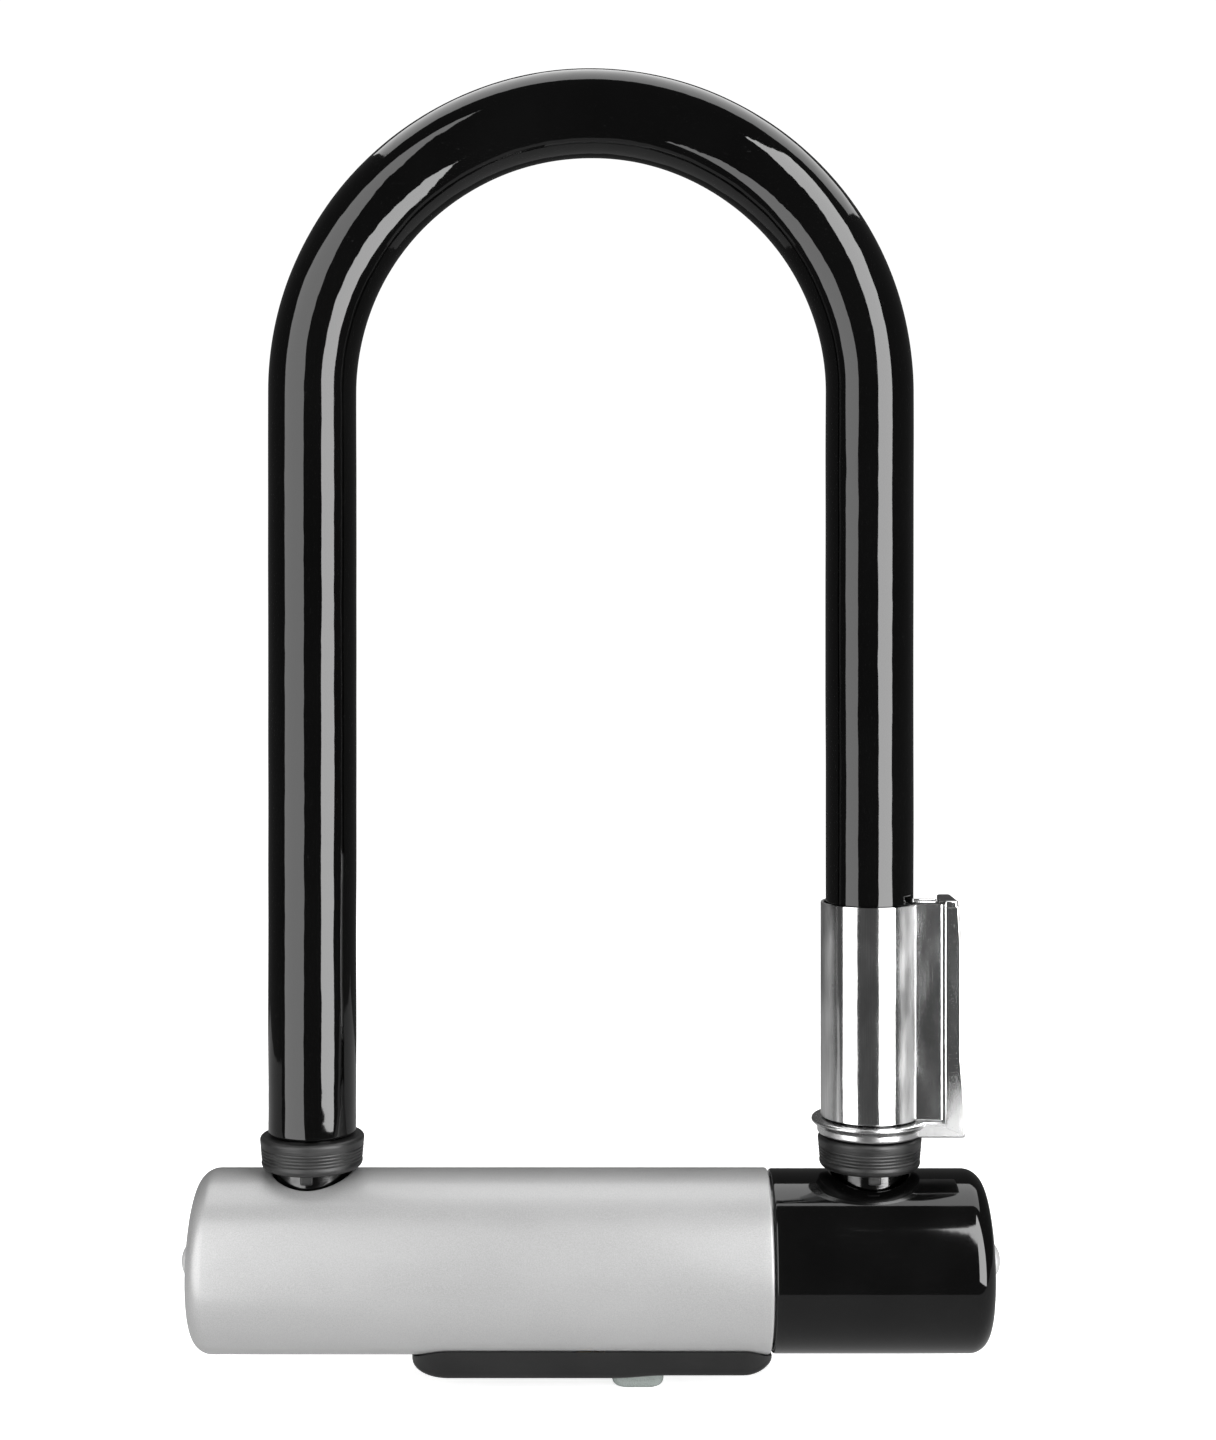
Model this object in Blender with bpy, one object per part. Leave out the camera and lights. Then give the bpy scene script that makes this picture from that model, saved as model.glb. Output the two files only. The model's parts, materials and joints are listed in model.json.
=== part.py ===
"""U lock: a coated steel shackle, a round crossbar with two deadbolts, and a bracket on the right leg.

Frame, in metres: +Z up along the legs, +X towards the leg that carries the bracket, -Y to the front.
The origin is below the middle of the crossbar, level with the tip of the dust cover's thumb tab.
Every height below is measured from the crossbar's axis, which lies AXIS_Z above the origin.
The lock is at rest unlocked: shackle seated, bolts drawn back, dust cover closed.
"""
import math

import bmesh
import bpy
from mathutils import Matrix, Vector

# Whole lock
LEG_X = 0.049
AXIS_Z = 0.0215
GAP = 0.0003
BEYOND = 0.0200
SHARP_ANGLE = math.radians(32)

# Shackle
ROD_RADIUS = 0.00635
COATING_RADIUS = 0.0077
ARCH_HEIGHT = 0.1526
FOOT_HEIGHT = -0.0086
FOOT_CHAMFER = 0.0009
NOTCH_DEPTH = 0.0049
NOTCH_HALF_HEIGHT = 0.0045
ROD_SIDES = 24
ARCH_STEPS = 24

# Collars
COLLAR_RADIUS = 0.0091
COLLAR_BOTTOM = 0.0165
COLLAR_TOP = 0.0222
COLLAR_CHAMFER = 0.0006

# Crossbar tube and shells
TUBE_RADIUS = 0.0140
TUBE_BORE = 0.0110
TUBE_HALF_LENGTH = 0.0660
SILVER_RADIUS = 0.01575
BLACK_RADIUS = 0.0156
SEAM_X = 0.0313
SHELL_END_X = 0.0702
SHELL_CORNER = 0.0034
SHELL_CORNER_STEPS = 5
SHELL_DOME = 0.0012
SHELL_DOME_STEPS = 3
SHELL_EDGE = 0.0005
FOOT_HOLE_RADIUS = 0.0069
BAR_SIDES = 40

# End plugs and their fasteners
END_PLUG_START = 0.0580
PLUG_PIN_X = 0.0600
PLUG_PIN_RADIUS = 0.0010
RIVET_TIP_X = 0.0719
RIVET_HEAD_RADIUS = 0.0028
RIVET_SHANK_RADIUS = 0.0013
RIVET_SHANK_END = 0.0626
RIVET_DOME_STEPS = 4

# Deadbolts, their guides and the scroll cam
BOLT_HALF = 0.0040
BOLT_START = 0.0109
BOLT_TIP = 0.0423
BOLT_TIP_CHAMFER = 0.0008
BOLT_THROW = 0.0045
TONGUE_START = 0.00045
TONGUE_BOTTOM = 0.0019
GUIDE_START = 0.0240
GUIDE_END = 0.0380
CAM_RADIUS = 0.0103
CAM_BOTTOM = -0.0010
CAM_TOP = 0.0015
CAM_TURN = math.pi / 2
CAM_PIN_RADIUS = 0.00125
CAM_SLOT_START = 0.0034
CAM_SLOT_STEPS = 12
CAM_SLOT_END_STEPS = 6
TANG_HALF = (0.0015, 0.0039)
TANG_BOTTOM = -0.0036

# Lock cylinder
HOUSING_RADIUS = 0.0080
HOUSING_BORE = 0.0061
HOUSING_BOTTOM = -0.0136
HOUSING_TOP = -0.0013
LIP_TOP = -0.0126
LIP_RADIUS = 0.0036
GROOVE_RADIUS = 0.00665
GROOVE_BOTTOM = -0.0027
GROOVE_TOP = -0.0017
CIRCLIP_OPENING = math.radians(40)
CARRIER_RADIUS = 0.0058
CARRIER_BOTTOM = -0.0123
CARRIER_SHOULDER = -0.0029
CARRIER_TOP = -0.0016
BOSS_RADIUS = 0.0050
CUP_RADIUS = 0.0046
CUP_TOP = -0.0052
DISC_RADIUS = 0.0043
DISC_THICKNESS = 0.0010
TUMBLER_COUNT = 4
ANTI_DRILL_BOTTOM = -0.0122
ANTI_DRILL_TOP = -0.0108
KEYWAY_HALF = (0.0028, 0.0009)
SIDEBAR_HALF_WIDTH = 0.0006
SIDEBAR_INNER = 0.0040
SIDEBAR_OUTER = 0.0057
RETAINING_PIN_X = 0.0084
RETAINING_PIN_HEIGHT = -0.0090
RETAINING_PIN_RADIUS = 0.0012
CYLINDER_SIDES = 32
PIN_SIDES = 16

# Dust cover
BASE_LEFT_END = 0.0312
BASE_LEFT_STRAIGHT = 0.0246
BASE_LEFT_STEPS = (1.0, 0.97, 0.88, 0.65, 0.35, 0.0)
BASE_RIGHT_STRAIGHT = 0.0264
BASE_RIGHT_END = ((0.0302, 0.35, 0.62), (0.0311, 0.18, 0.35), (0.0316, 0.0, 0.0))
BASE_SHALLOW = 0.75
BASE_SHALLOW_SPAN = (0.0040, 0.0130)
BASE_BOTTOM = -0.0185
BASE_END_BOTTOM = -0.0166
BASE_SECTION_TOP = -0.0115
BASE_TOP_HALF_WIDTHS = (0.0035, 0.0100)
BASE_BOTTOM_HALF_WIDTHS = (0.0020, 0.0070)
BASE_EDGE = 0.0006
BASE_FLOOR = -0.0176
SLIDER_START = -0.0072
SLIDER_END = 0.0132
SLIDER_HALF_WIDTH = 0.0057
SLIDER_TOP = -0.0161
SLIDER_BOTTOM = -0.0173
SLIDER_TRAVEL = 0.0130
WINDOW_START = -0.0062
TAB_X = 0.0082
TAB_HALF = (0.0045, 0.0040)
TAB_ROUND = 0.0016
TAB_ROUND_STEPS = 3
TAB_PEG_RADIUS = 0.0012
COVER_SCREW_X = -0.0200
COVER_SCREW_HEAD = 0.0024
COVER_SCREW_SHANK = 0.0012
COVER_SCREW_CROSS = (0.0015, 0.0003)

# Bracket, in the right leg's own frame: x from the leg's axis
RING_BOTTOM = 0.0225
RING_TOP = 0.0252
RING_BOTTOM_RADIUS = 0.0092
RING_BAND_TOP = 0.0237
RING_LIP_RADIUS = 0.0102
RING_LIP_HEIGHT = 0.0009
BRACKET_BORE = COATING_RADIUS + GAP
SLEEVE_RADIUS = 0.0086
SLEEVE_TOP = 0.0630
WING_END = 0.0123
WING_HALF = 0.0040
EAR_THICKNESS = 0.0009
WEB_HALF = 0.0028
WEB_START = 0.0083
RAIL_START = 0.0126
RAIL_TOP_OUTER = 0.0150
RAIL_OUTER = 0.0154
RAIL_FOOT_OUTER = 0.0161
RAIL_HALF = 0.0046
RAIL_TOP = 0.0631
RAIL_CAP_TOP = 0.0637
RAIL_FLARE = (0.0270, 0.0360)
RAIL_TAPER = 0.0560
BRACKET_SCREW_X = 0.0102
BRACKET_SCREW_HEIGHTS = {"lower": 0.0330, "upper": 0.0550}
BRACKET_SCREW_HEAD = 0.0019
BRACKET_SCREW_HEAD_HEIGHT = 0.0012
BRACKET_SCREW_SHANK = 0.0010
BRACKET_SCREW_TIP = -0.0006
BRACKET_SCREW_SLOT = (0.0011, 0.00025)
LEG_SIDES = 32

# Colour, roughness and metallic value of each kind of surface
FINISHES = {
    "bare_steel": ((0.62, 0.62, 0.63), 0.28, 1.0),
    "dark_steel": ((0.30, 0.30, 0.31), 0.40, 1.0),
    "brass": ((0.72, 0.55, 0.26), 0.32, 1.0),
    "black_coating": ((0.012, 0.012, 0.013), 0.12, 0.0),
    "rubber": ((0.035, 0.035, 0.037), 0.60, 0.0),
    "silver_shell": ((0.62, 0.63, 0.63), 0.34, 0.75),
    "black_shell": ((0.010, 0.010, 0.011), 0.10, 0.0),
    "polished_metal": ((0.80, 0.80, 0.80), 0.16, 1.0),
    "cast_metal": ((0.66, 0.66, 0.67), 0.32, 1.0),
    "dark_plastic": ((0.040, 0.040, 0.042), 0.42, 0.0),
    "pale_plastic": ((0.62, 0.65, 0.65), 0.30, 0.0),
}


# ---------------------------------------------------------------- building blocks
def clear_scene():
    for old in list(bpy.data.objects):
        bpy.data.objects.remove(old, do_unlink=True)


def own_material(name, finish):
    colour, roughness, metallic = FINISHES[finish]
    material = bpy.data.materials.new(name)
    material.use_nodes = True
    shader = material.node_tree.nodes["Principled BSDF"]
    shader.inputs["Base Color"].default_value = (*colour, 1.0)
    shader.inputs["Roughness"].default_value = roughness
    shader.inputs["Metallic"].default_value = metallic
    return material


def mesh_object(name, bm):
    """Turn a bmesh into an object with outward faces and sharp corners."""
    bmesh.ops.recalc_face_normals(bm, faces=bm.faces)
    mesh = bpy.data.meshes.new(name)
    bm.to_mesh(mesh)
    bm.free()
    mesh.shade_smooth()
    mesh.set_sharp_from_angle(angle=SHARP_ANGLE)
    piece = bpy.data.objects.new(name, mesh)
    bpy.context.scene.collection.objects.link(piece)
    return piece


def add_piece(name, bm, finish, body, location=(0.0, 0.0, 0.0), turn=0.0):
    """Add one named sub-part on a body's empty, turned about Z."""
    piece = mesh_object(name, bm)
    piece.data.materials.append(own_material(name, finish))
    piece.parent = body
    piece.location = location
    piece.rotation_euler = (0.0, 0.0, turn)
    return piece


def add_empty(name, turn=0.0):
    """A body's empty on the crossbar's axis, where every joint axis passes."""
    empty = bpy.data.objects.new(name, None)
    empty.location = (0.0, 0.0, AXIS_Z)
    empty.rotation_euler = (0.0, 0.0, turn)
    bpy.context.scene.collection.objects.link(empty)
    return empty


def combine(piece, operation, bm):
    """Boolean a hidden guide, drawn in the piece's own frame, with the piece."""
    guide = mesh_object(f"{piece.name}_guide_{len(piece.modifiers)}", bm)
    guide.hide_render = True
    guide.display_type = "WIRE"
    guide.parent = piece
    modifier = piece.modifiers.new(guide.name, "BOOLEAN")
    modifier.operation = operation
    modifier.solver = "EXACT"
    modifier.object = guide


def cut(piece, *shapes):
    for bm in shapes:
        combine(piece, "DIFFERENCE", bm)


def fuse(piece, *shapes):
    for bm in shapes:
        combine(piece, "UNION", bm)


def turned(profile, sides, angle=2 * math.pi):
    """Spin an outline of (radius, height) points about Z; it is closed unless it starts on the axis."""
    bm = bmesh.new()
    points = [bm.verts.new((radius, 0.0, height)) for radius, height in profile]
    following = points[1:]
    if profile[0][0] > 0:
        following = points[1:] + points[:1]
    for first, second in zip(points, following):
        bm.edges.new((first, second))
    if angle < 2 * math.pi:
        bm.faces.new(points)
    outline = bm.verts[:] + bm.edges[:] + bm.faces[:]
    bmesh.ops.spin(bm, geom=outline, axis=(0, 0, 1), cent=(0, 0, 0), angle=angle, steps=sides)
    bmesh.ops.remove_doubles(bm, verts=bm.verts, dist=1e-7)
    return bm


def rod(radius, low, high, sides=CYLINDER_SIDES):
    return turned([(0.0, low), (radius, low), (radius, high), (0.0, high)], sides)


def moved(bm, location=(0.0, 0.0, 0.0), along="Z"):
    """Lay a shape drawn about Z along another axis, then shift it."""
    turns = {"X": Matrix.Rotation(math.pi / 2, 4, "Y"), "Y": Matrix.Rotation(-math.pi / 2, 4, "X")}
    bm.transform(Matrix.Translation(location) @ turns.get(along, Matrix.Identity(4)))
    return bm


def box(low, high):
    bm = bmesh.new()
    bmesh.ops.create_cube(bm, size=1.0)
    low, high = Vector(low), Vector(high)
    scale = Matrix.Diagonal((*(high - low), 1.0))
    bm.transform(Matrix.Translation((low + high) / 2) @ scale)
    return bm


def prism(outline, low, high):
    """Extrude a closed (x, y) outline between two heights."""
    bm = bmesh.new()
    bottom = bm.faces.new([bm.verts.new((x, y, low)) for x, y in outline])
    lifted = bmesh.ops.extrude_face_region(bm, geom=[bottom])["geom"]
    corners = [item for item in lifted if isinstance(item, bmesh.types.BMVert)]
    bmesh.ops.translate(bm, verts=corners, vec=(0.0, 0.0, high - low))
    return bm


def skin(bm, rings):
    """Join each ring of vertices to the next with four-sided faces."""
    for first, second in zip(rings, rings[1:]):
        for i in range(len(first)):
            j = (i + 1) % len(first)
            bm.faces.new((first[i], first[j], second[j], second[i]))


def arc(centre, radius, start, end, steps):
    """Points of a circular arc in a plane, both ends included."""
    angles = [start + (end - start) * i / steps for i in range(steps + 1)]
    return [(centre[0] + radius * math.cos(a), centre[1] + radius * math.sin(a)) for a in angles]


# ---------------------------------------------------------------- shackle
def u_rings(bm, stations):
    """Rings of a U; a station is (radius, centre x, centre height, angle from +X to the outside)."""
    rings = []
    depth = Vector((0.0, 1.0, 0.0))
    for radius, centre_x, centre_z, angle in stations:
        outward = Vector((math.cos(angle), 0.0, math.sin(angle)))
        centre = Vector((centre_x, 0.0, centre_z))
        ring = []
        for i in range(ROD_SIDES):
            a = 2 * math.pi * i / ROD_SIDES
            offset = outward * math.cos(a) + depth * math.sin(a)
            ring.append(bm.verts.new(centre + offset * radius))
        rings.append(ring)
    return rings


def u_stations(radius, ends):
    """Stations from the left foot over the arch to the right foot; ends are (radius, height)."""
    left = [(end_radius, -LEG_X, height, math.pi) for end_radius, height in ends]
    right = [(end_radius, LEG_X, height, 0.0) for end_radius, height in reversed(ends)]
    arch = []
    for i in range(ARCH_STEPS + 1):
        angle = math.pi * (1 - i / ARCH_STEPS)
        centre_x = LEG_X * math.cos(angle)
        arch.append((radius, centre_x, ARCH_HEIGHT + LEG_X * math.sin(angle), angle))
    return left + arch + right


def make_shackle_bar(body):
    bm = bmesh.new()
    ends = [(ROD_RADIUS - FOOT_CHAMFER, FOOT_HEIGHT), (ROD_RADIUS, FOOT_HEIGHT + FOOT_CHAMFER)]
    rings = u_rings(bm, u_stations(ROD_RADIUS, ends))
    skin(bm, rings)
    bm.faces.new(rings[0])
    bm.faces.new(rings[-1])
    bar = add_piece("shackle_bar", bm, "bare_steel", body)
    inner_face = LEG_X - ROD_RADIUS
    for side in (-1, 1):
        near, far = sorted((side * (inner_face - ROD_RADIUS), side * (inner_face + NOTCH_DEPTH)))
        low = (near, -COATING_RADIUS, -NOTCH_HALF_HEIGHT)
        high = (far, COATING_RADIUS, NOTCH_HALF_HEIGHT)
        cut(bar, box(low, high))


def make_shackle_coating(body):
    bm = bmesh.new()
    bottom = COLLAR_TOP + GAP
    inner_radius = ROD_RADIUS + GAP
    outer = u_rings(bm, u_stations(COATING_RADIUS, [(COATING_RADIUS, bottom)]))
    inner = u_rings(bm, u_stations(inner_radius, [(inner_radius, bottom)]))
    skin(bm, outer)
    skin(bm, inner)
    skin(bm, [outer[0], inner[0]])
    skin(bm, [inner[-1], outer[-1]])
    add_piece("shackle_coating", bm, "black_coating", body)


def make_collar(name, body, side):
    inner = ROD_RADIUS + GAP
    profile = [
        (inner, COLLAR_BOTTOM),
        (COLLAR_RADIUS - COLLAR_CHAMFER, COLLAR_BOTTOM),
        (COLLAR_RADIUS, COLLAR_BOTTOM + COLLAR_CHAMFER),
        (COLLAR_RADIUS, COLLAR_TOP - COLLAR_CHAMFER),
        (COLLAR_RADIUS - COLLAR_CHAMFER, COLLAR_TOP),
        (inner, COLLAR_TOP),
    ]
    add_piece(name, turned(profile, LEG_SIDES), "rubber", body, location=(side * LEG_X, 0.0, 0.0))


# ---------------------------------------------------------------- bracket on the right leg
def make_bracket_sleeve(body):
    """Sheet wrapped round the leg, its two ends folded out as ears on both sides of the web."""
    ear_angle = math.asin(WING_HALF / SLEEVE_RADIUS)
    ear_inner = WING_HALF - EAR_THICKNESS
    inner_angle = math.asin(ear_inner / BRACKET_BORE)
    outline = arc((0, 0), SLEEVE_RADIUS, ear_angle, 2 * math.pi - ear_angle, LEG_SIDES)
    outline += [(WING_END, -WING_HALF), (WING_END, -ear_inner)]
    outline += arc((0, 0), BRACKET_BORE, 2 * math.pi - inner_angle, inner_angle, LEG_SIDES)
    outline += [(WING_END, ear_inner), (WING_END, WING_HALF)]
    bm = prism(outline, RING_TOP + GAP, SLEEVE_TOP)
    sleeve = add_piece("bracket_sleeve", bm, "polished_metal", body, location=(LEG_X, 0.0, 0.0))
    for height in BRACKET_SCREW_HEIGHTS.values():
        cut(sleeve, bracket_screw_hole(height))


def bracket_screw_hole(height):
    """Hole from the rear ear's outside to just past the tip of the screw."""
    hole = rod(BRACKET_SCREW_SHANK + GAP, BRACKET_SCREW_TIP - GAP, 2 * WING_HALF, PIN_SIDES)
    return moved(moved(hole, along="Y"), (BRACKET_SCREW_X, 0.0, height))


def make_bracket_carrier(body):
    """Base ring, foot flange, web between the sleeve's ears, and the upright rail with its cap."""
    ring = [
        (BRACKET_BORE, RING_BOTTOM),
        (RING_BOTTOM_RADIUS, RING_BOTTOM),
        (RING_BOTTOM_RADIUS, RING_BAND_TOP),
        (RING_LIP_RADIUS, RING_TOP - RING_LIP_HEIGHT),
        (RING_LIP_RADIUS, RING_TOP - GAP),
        (RING_LIP_RADIUS - GAP, RING_TOP),
        (BRACKET_BORE, RING_TOP),
    ]
    bm = turned(ring, LEG_SIDES)
    carrier = add_piece("bracket_carrier", bm, "cast_metal", body, location=(LEG_X, 0.0, 0.0))
    flare_low, flare_high = RAIL_FLARE
    side_view = [
        (WEB_START, RING_BOTTOM),
        (RAIL_FOOT_OUTER, RING_BOTTOM),
        (RAIL_FOOT_OUTER, flare_low),
        (RAIL_OUTER, flare_high),
        (RAIL_OUTER, RAIL_TAPER),
        (RAIL_TOP_OUTER, RAIL_TOP),
        (RAIL_START, RAIL_TOP),
        (RAIL_START, RING_TOP),
        (WEB_START, RING_TOP),
    ]
    rail = prism([(x, -z) for x, z in side_view], -RAIL_HALF, RAIL_HALF)
    rail.transform(Matrix.Rotation(-math.pi / 2, 4, "X"))
    web = box((WEB_START, -WEB_HALF, RING_TOP - GAP), (RAIL_START + GAP, WEB_HALF, SLEEVE_TOP - GAP))
    cap_low = (RAIL_START - GAP / 2, -RAIL_HALF - GAP, 2 * RAIL_TOP - RAIL_CAP_TOP)
    cap = box(cap_low, (RAIL_TOP_OUTER - GAP, RAIL_HALF + GAP, RAIL_CAP_TOP))
    fuse(carrier, rail, web, cap)
    for height in BRACKET_SCREW_HEIGHTS.values():
        cut(carrier, bracket_screw_hole(height))


def make_bracket_screw(name, body, height):
    """Pan head screw put in from the back."""
    seat = WING_HALF + GAP
    middle = seat + BRACKET_SCREW_HEAD_HEIGHT / 2
    top = seat + BRACKET_SCREW_HEAD_HEIGHT
    profile = [
        (0.0, top),
        (BRACKET_SCREW_HEAD * math.cos(math.pi / 4), top - GAP / 2),
        (BRACKET_SCREW_HEAD, middle),
        (BRACKET_SCREW_HEAD, seat),
        (BRACKET_SCREW_SHANK, seat),
        (BRACKET_SCREW_SHANK, BRACKET_SCREW_TIP),
        (0.0, BRACKET_SCREW_TIP),
    ]
    bm = moved(turned(profile, PIN_SIDES), along="Y")
    place = (LEG_X + BRACKET_SCREW_X, 0.0, height)
    screw = add_piece(name, bm, "dark_steel", body, location=place)
    half_length, half_width = BRACKET_SCREW_SLOT
    cut(screw, box((-half_length, middle, -half_width), (half_length, top + GAP, half_width)))


# ---------------------------------------------------------------- crossbar
def make_crossbar_tube(body):
    half = TUBE_HALF_LENGTH
    profile = [(TUBE_BORE, -half), (TUBE_RADIUS, -half), (TUBE_RADIUS, half), (TUBE_BORE, half)]
    bm = moved(turned(profile, BAR_SIDES), along="X")
    tube = add_piece("crossbar_tube", bm, "dark_steel", body)
    for side in (-1, 1):
        cut(tube, moved(rod(FOOT_HOLE_RADIUS, 0.0, SILVER_RADIUS), (side * LEG_X, 0.0, 0.0)))
        cut(tube, plug_pin_hole(side))
    cut(tube, rod(HOUSING_RADIUS + GAP, -SILVER_RADIUS, HOUSING_BOTTOM / 2))
    cut(tube, retaining_hole())
    cut(tube, cover_screw_hole())


def plug_pin_hole(side):
    hole = moved(rod(PLUG_PIN_RADIUS + GAP, -BEYOND, BEYOND, PIN_SIDES), along="Y")
    return moved(hole, (side * PLUG_PIN_X, 0.0, 0.0))


def shell_outline(radius, seam_x):
    """Half section of a shell about X as (radius, x): a thin tube with one rounded, domed end."""
    inner = TUBE_RADIUS + GAP
    inner_end = TUBE_HALF_LENGTH + GAP
    hole = RIVET_SHANK_RADIUS + GAP
    dome_edge = radius - SHELL_CORNER
    corner_x = SHELL_END_X - SHELL_DOME - SHELL_CORNER
    outline = [(radius - SHELL_EDGE, seam_x), (radius, seam_x + SHELL_EDGE)]
    outline += arc((dome_edge, corner_x), SHELL_CORNER, 0.0, math.pi / 2, SHELL_CORNER_STEPS)
    for i in range(1, SHELL_DOME_STEPS + 1):
        r = dome_edge + (hole - dome_edge) * i / SHELL_DOME_STEPS
        outline.append((r, SHELL_END_X - SHELL_DOME * (r / dome_edge) ** 2))
    return outline + [(hole, inner_end), (inner, inner_end), (inner, seam_x)]


def make_silver_sleeve(body):
    outline = shell_outline(SILVER_RADIUS, -SEAM_X + GAP / 2)
    bm = moved(turned([(r, -x) for r, x in outline], BAR_SIDES), along="X")
    sleeve = add_piece("silver_sleeve", bm, "silver_shell", body)
    cut(sleeve, moved(rod(FOOT_HOLE_RADIUS, 0.0, BEYOND), (-LEG_X, 0.0, 0.0)))
    cut(sleeve, rod(HOUSING_RADIUS + 2 * GAP, -BEYOND, HOUSING_BOTTOM / 2))
    cut(sleeve, cover_screw_hole())


def make_black_end_sleeve(body):
    outline = shell_outline(BLACK_RADIUS, SEAM_X + GAP / 2)
    bm = moved(turned(outline, BAR_SIDES), along="X")
    sleeve = add_piece("black_end_sleeve", bm, "black_shell", body)
    cut(sleeve, moved(rod(FOOT_HOLE_RADIUS, 0.0, BEYOND), (LEG_X, 0.0, 0.0)))


def make_end_plug(name, body, turn):
    """Disc that closes the tube, cross drilled for its pin and drilled for the end rivet."""
    plug_radius = TUBE_BORE - GAP
    plug_end = TUBE_HALF_LENGTH - GAP
    bm = moved(rod(plug_radius, END_PLUG_START, plug_end, BAR_SIDES), along="X")
    plug = add_piece(name, bm, "dark_steel", body, turn=turn)
    rivet_hole = rod(RIVET_SHANK_RADIUS + GAP, RIVET_SHANK_END - GAP, RIVET_TIP_X, PIN_SIDES)
    cut(plug, plug_pin_hole(1), moved(rivet_hole, along="X"))


def make_plug_pin(name, body, turn):
    reach = TUBE_RADIUS - 2 * GAP
    bm = moved(rod(PLUG_PIN_RADIUS, -reach, reach, PIN_SIDES), along="Y")
    side = math.cos(turn)
    add_piece(name, bm, "bare_steel", body, location=(side * PLUG_PIN_X, 0.0, 0.0))


def make_end_rivet(name, body, turn):
    head_start = SHELL_END_X + GAP
    height = RIVET_TIP_X - head_start
    profile = [(0.0, RIVET_TIP_X)]
    for i in range(1, RIVET_DOME_STEPS + 1):
        a = math.pi / 2 * i / RIVET_DOME_STEPS
        profile.append((RIVET_HEAD_RADIUS * math.sin(a), head_start + height * math.cos(a)))
    profile += [(RIVET_SHANK_RADIUS, head_start), (RIVET_SHANK_RADIUS, RIVET_SHANK_END)]
    profile.append((0.0, RIVET_SHANK_END))
    bm = moved(turned(profile, PIN_SIDES), along="X")
    add_piece(name, bm, "bare_steel", body, turn=turn)


# ---------------------------------------------------------------- deadbolts and cam
def make_bolt_guide(name, body, turn):
    bm = moved(rod(TUBE_BORE - GAP, GUIDE_START, GUIDE_END, BAR_SIDES), along="X")
    guide = add_piece(name, bm, "brass", body, turn=turn)
    half = BOLT_HALF + GAP
    cut(guide, box((GUIDE_START - GAP, -half, -half), (GUIDE_END + GAP, half, half)))


def make_deadbolt(name, body):
    """Square bolt with a thin tongue that reaches over the cam to its pin."""
    tip = BOLT_TIP - BOLT_TIP_CHAMFER
    side_view = [
        (BOLT_START, -BOLT_HALF),
        (tip, -BOLT_HALF),
        (BOLT_TIP, -BOLT_HALF + BOLT_TIP_CHAMFER),
        (BOLT_TIP, BOLT_HALF - BOLT_TIP_CHAMFER),
        (tip, BOLT_HALF),
        (TONGUE_START, BOLT_HALF),
        (TONGUE_START, TONGUE_BOTTOM),
        (BOLT_START, TONGUE_BOTTOM),
    ]
    bm = prism([(x, -z) for x, z in side_view], -BOLT_HALF, BOLT_HALF)
    bm.transform(Matrix.Rotation(-math.pi / 2, 4, "X"))
    bolt = add_piece(name, bm, "bare_steel", body)
    pin_hole = rod(CAM_PIN_RADIUS + GAP, CAM_TOP, 2 * BOLT_HALF, PIN_SIDES)
    cut(bolt, moved(pin_hole, (CAM_SLOT_START, 0.0, 0.0)))


def make_bolt_pin(name, body):
    bm = rod(CAM_PIN_RADIUS, CAM_BOTTOM + GAP, BOLT_HALF - GAP, PIN_SIDES)
    add_piece(name, bm, "dark_steel", body, location=(CAM_SLOT_START, 0.0, 0.0))


def scroll_slot(start_angle):
    """Slot whose middle line winds outwards by the bolt's throw as the cam turns."""
    half_width = CAM_PIN_RADIUS + GAP
    rate = BOLT_THROW / CAM_TURN
    middles, headings = [], []
    for i in range(CAM_SLOT_STEPS + 1):
        swept = CAM_TURN * i / CAM_SLOT_STEPS
        radius = CAM_SLOT_START + rate * swept
        angle = start_angle - swept
        outward = Vector((math.cos(angle), math.sin(angle)))
        onward = Vector((math.sin(angle), -math.cos(angle)))
        middles.append(outward * radius)
        headings.append((outward * rate + onward * radius).normalized())
    sides = [Vector((-heading.y, heading.x)) * half_width for heading in headings]
    outline = [middle + side for middle, side in zip(middles, sides)]
    outline += round_end(middles[-1], sides[-1])
    outline += [middle - side for middle, side in reversed(list(zip(middles, sides)))]
    outline += round_end(middles[0], -sides[0])
    return prism([(point[0], point[1]) for point in outline], CAM_BOTTOM - GAP, CAM_TOP + GAP)


def round_end(centre, side):
    """Points between the ends of a half circle that turns clockwise from centre + side."""
    start = math.atan2(side.y, side.x)
    return arc(centre, side.length, start, start - math.pi, CAM_SLOT_END_STEPS)[1:-1]


def make_cam_disc(body):
    bm = rod(CAM_RADIUS, CAM_BOTTOM, CAM_TOP, BAR_SIDES)
    cam = add_piece("cam_disc", bm, "bare_steel", body)
    half_x, half_y = TANG_HALF
    fuse(cam, box((-half_x, -half_y, TANG_BOTTOM), (half_x, half_y, (CAM_BOTTOM + CAM_TOP) / 2)))
    cut(cam, scroll_slot(0.0), scroll_slot(math.pi))


# ---------------------------------------------------------------- lock cylinder
def make_cylinder_housing(body):
    profile = [
        (LIP_RADIUS, HOUSING_BOTTOM),
        (HOUSING_RADIUS, HOUSING_BOTTOM),
        (HOUSING_RADIUS, HOUSING_TOP),
        (HOUSING_BORE, HOUSING_TOP),
        (HOUSING_BORE, GROOVE_TOP),
        (GROOVE_RADIUS, GROOVE_TOP),
        (GROOVE_RADIUS, GROOVE_BOTTOM),
        (HOUSING_BORE, GROOVE_BOTTOM),
        (HOUSING_BORE, LIP_TOP),
        (LIP_RADIUS, LIP_TOP),
    ]
    housing = add_piece("cylinder_housing", turned(profile, CYLINDER_SIDES), "brass", body)
    cut(housing, retaining_hole())


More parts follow.
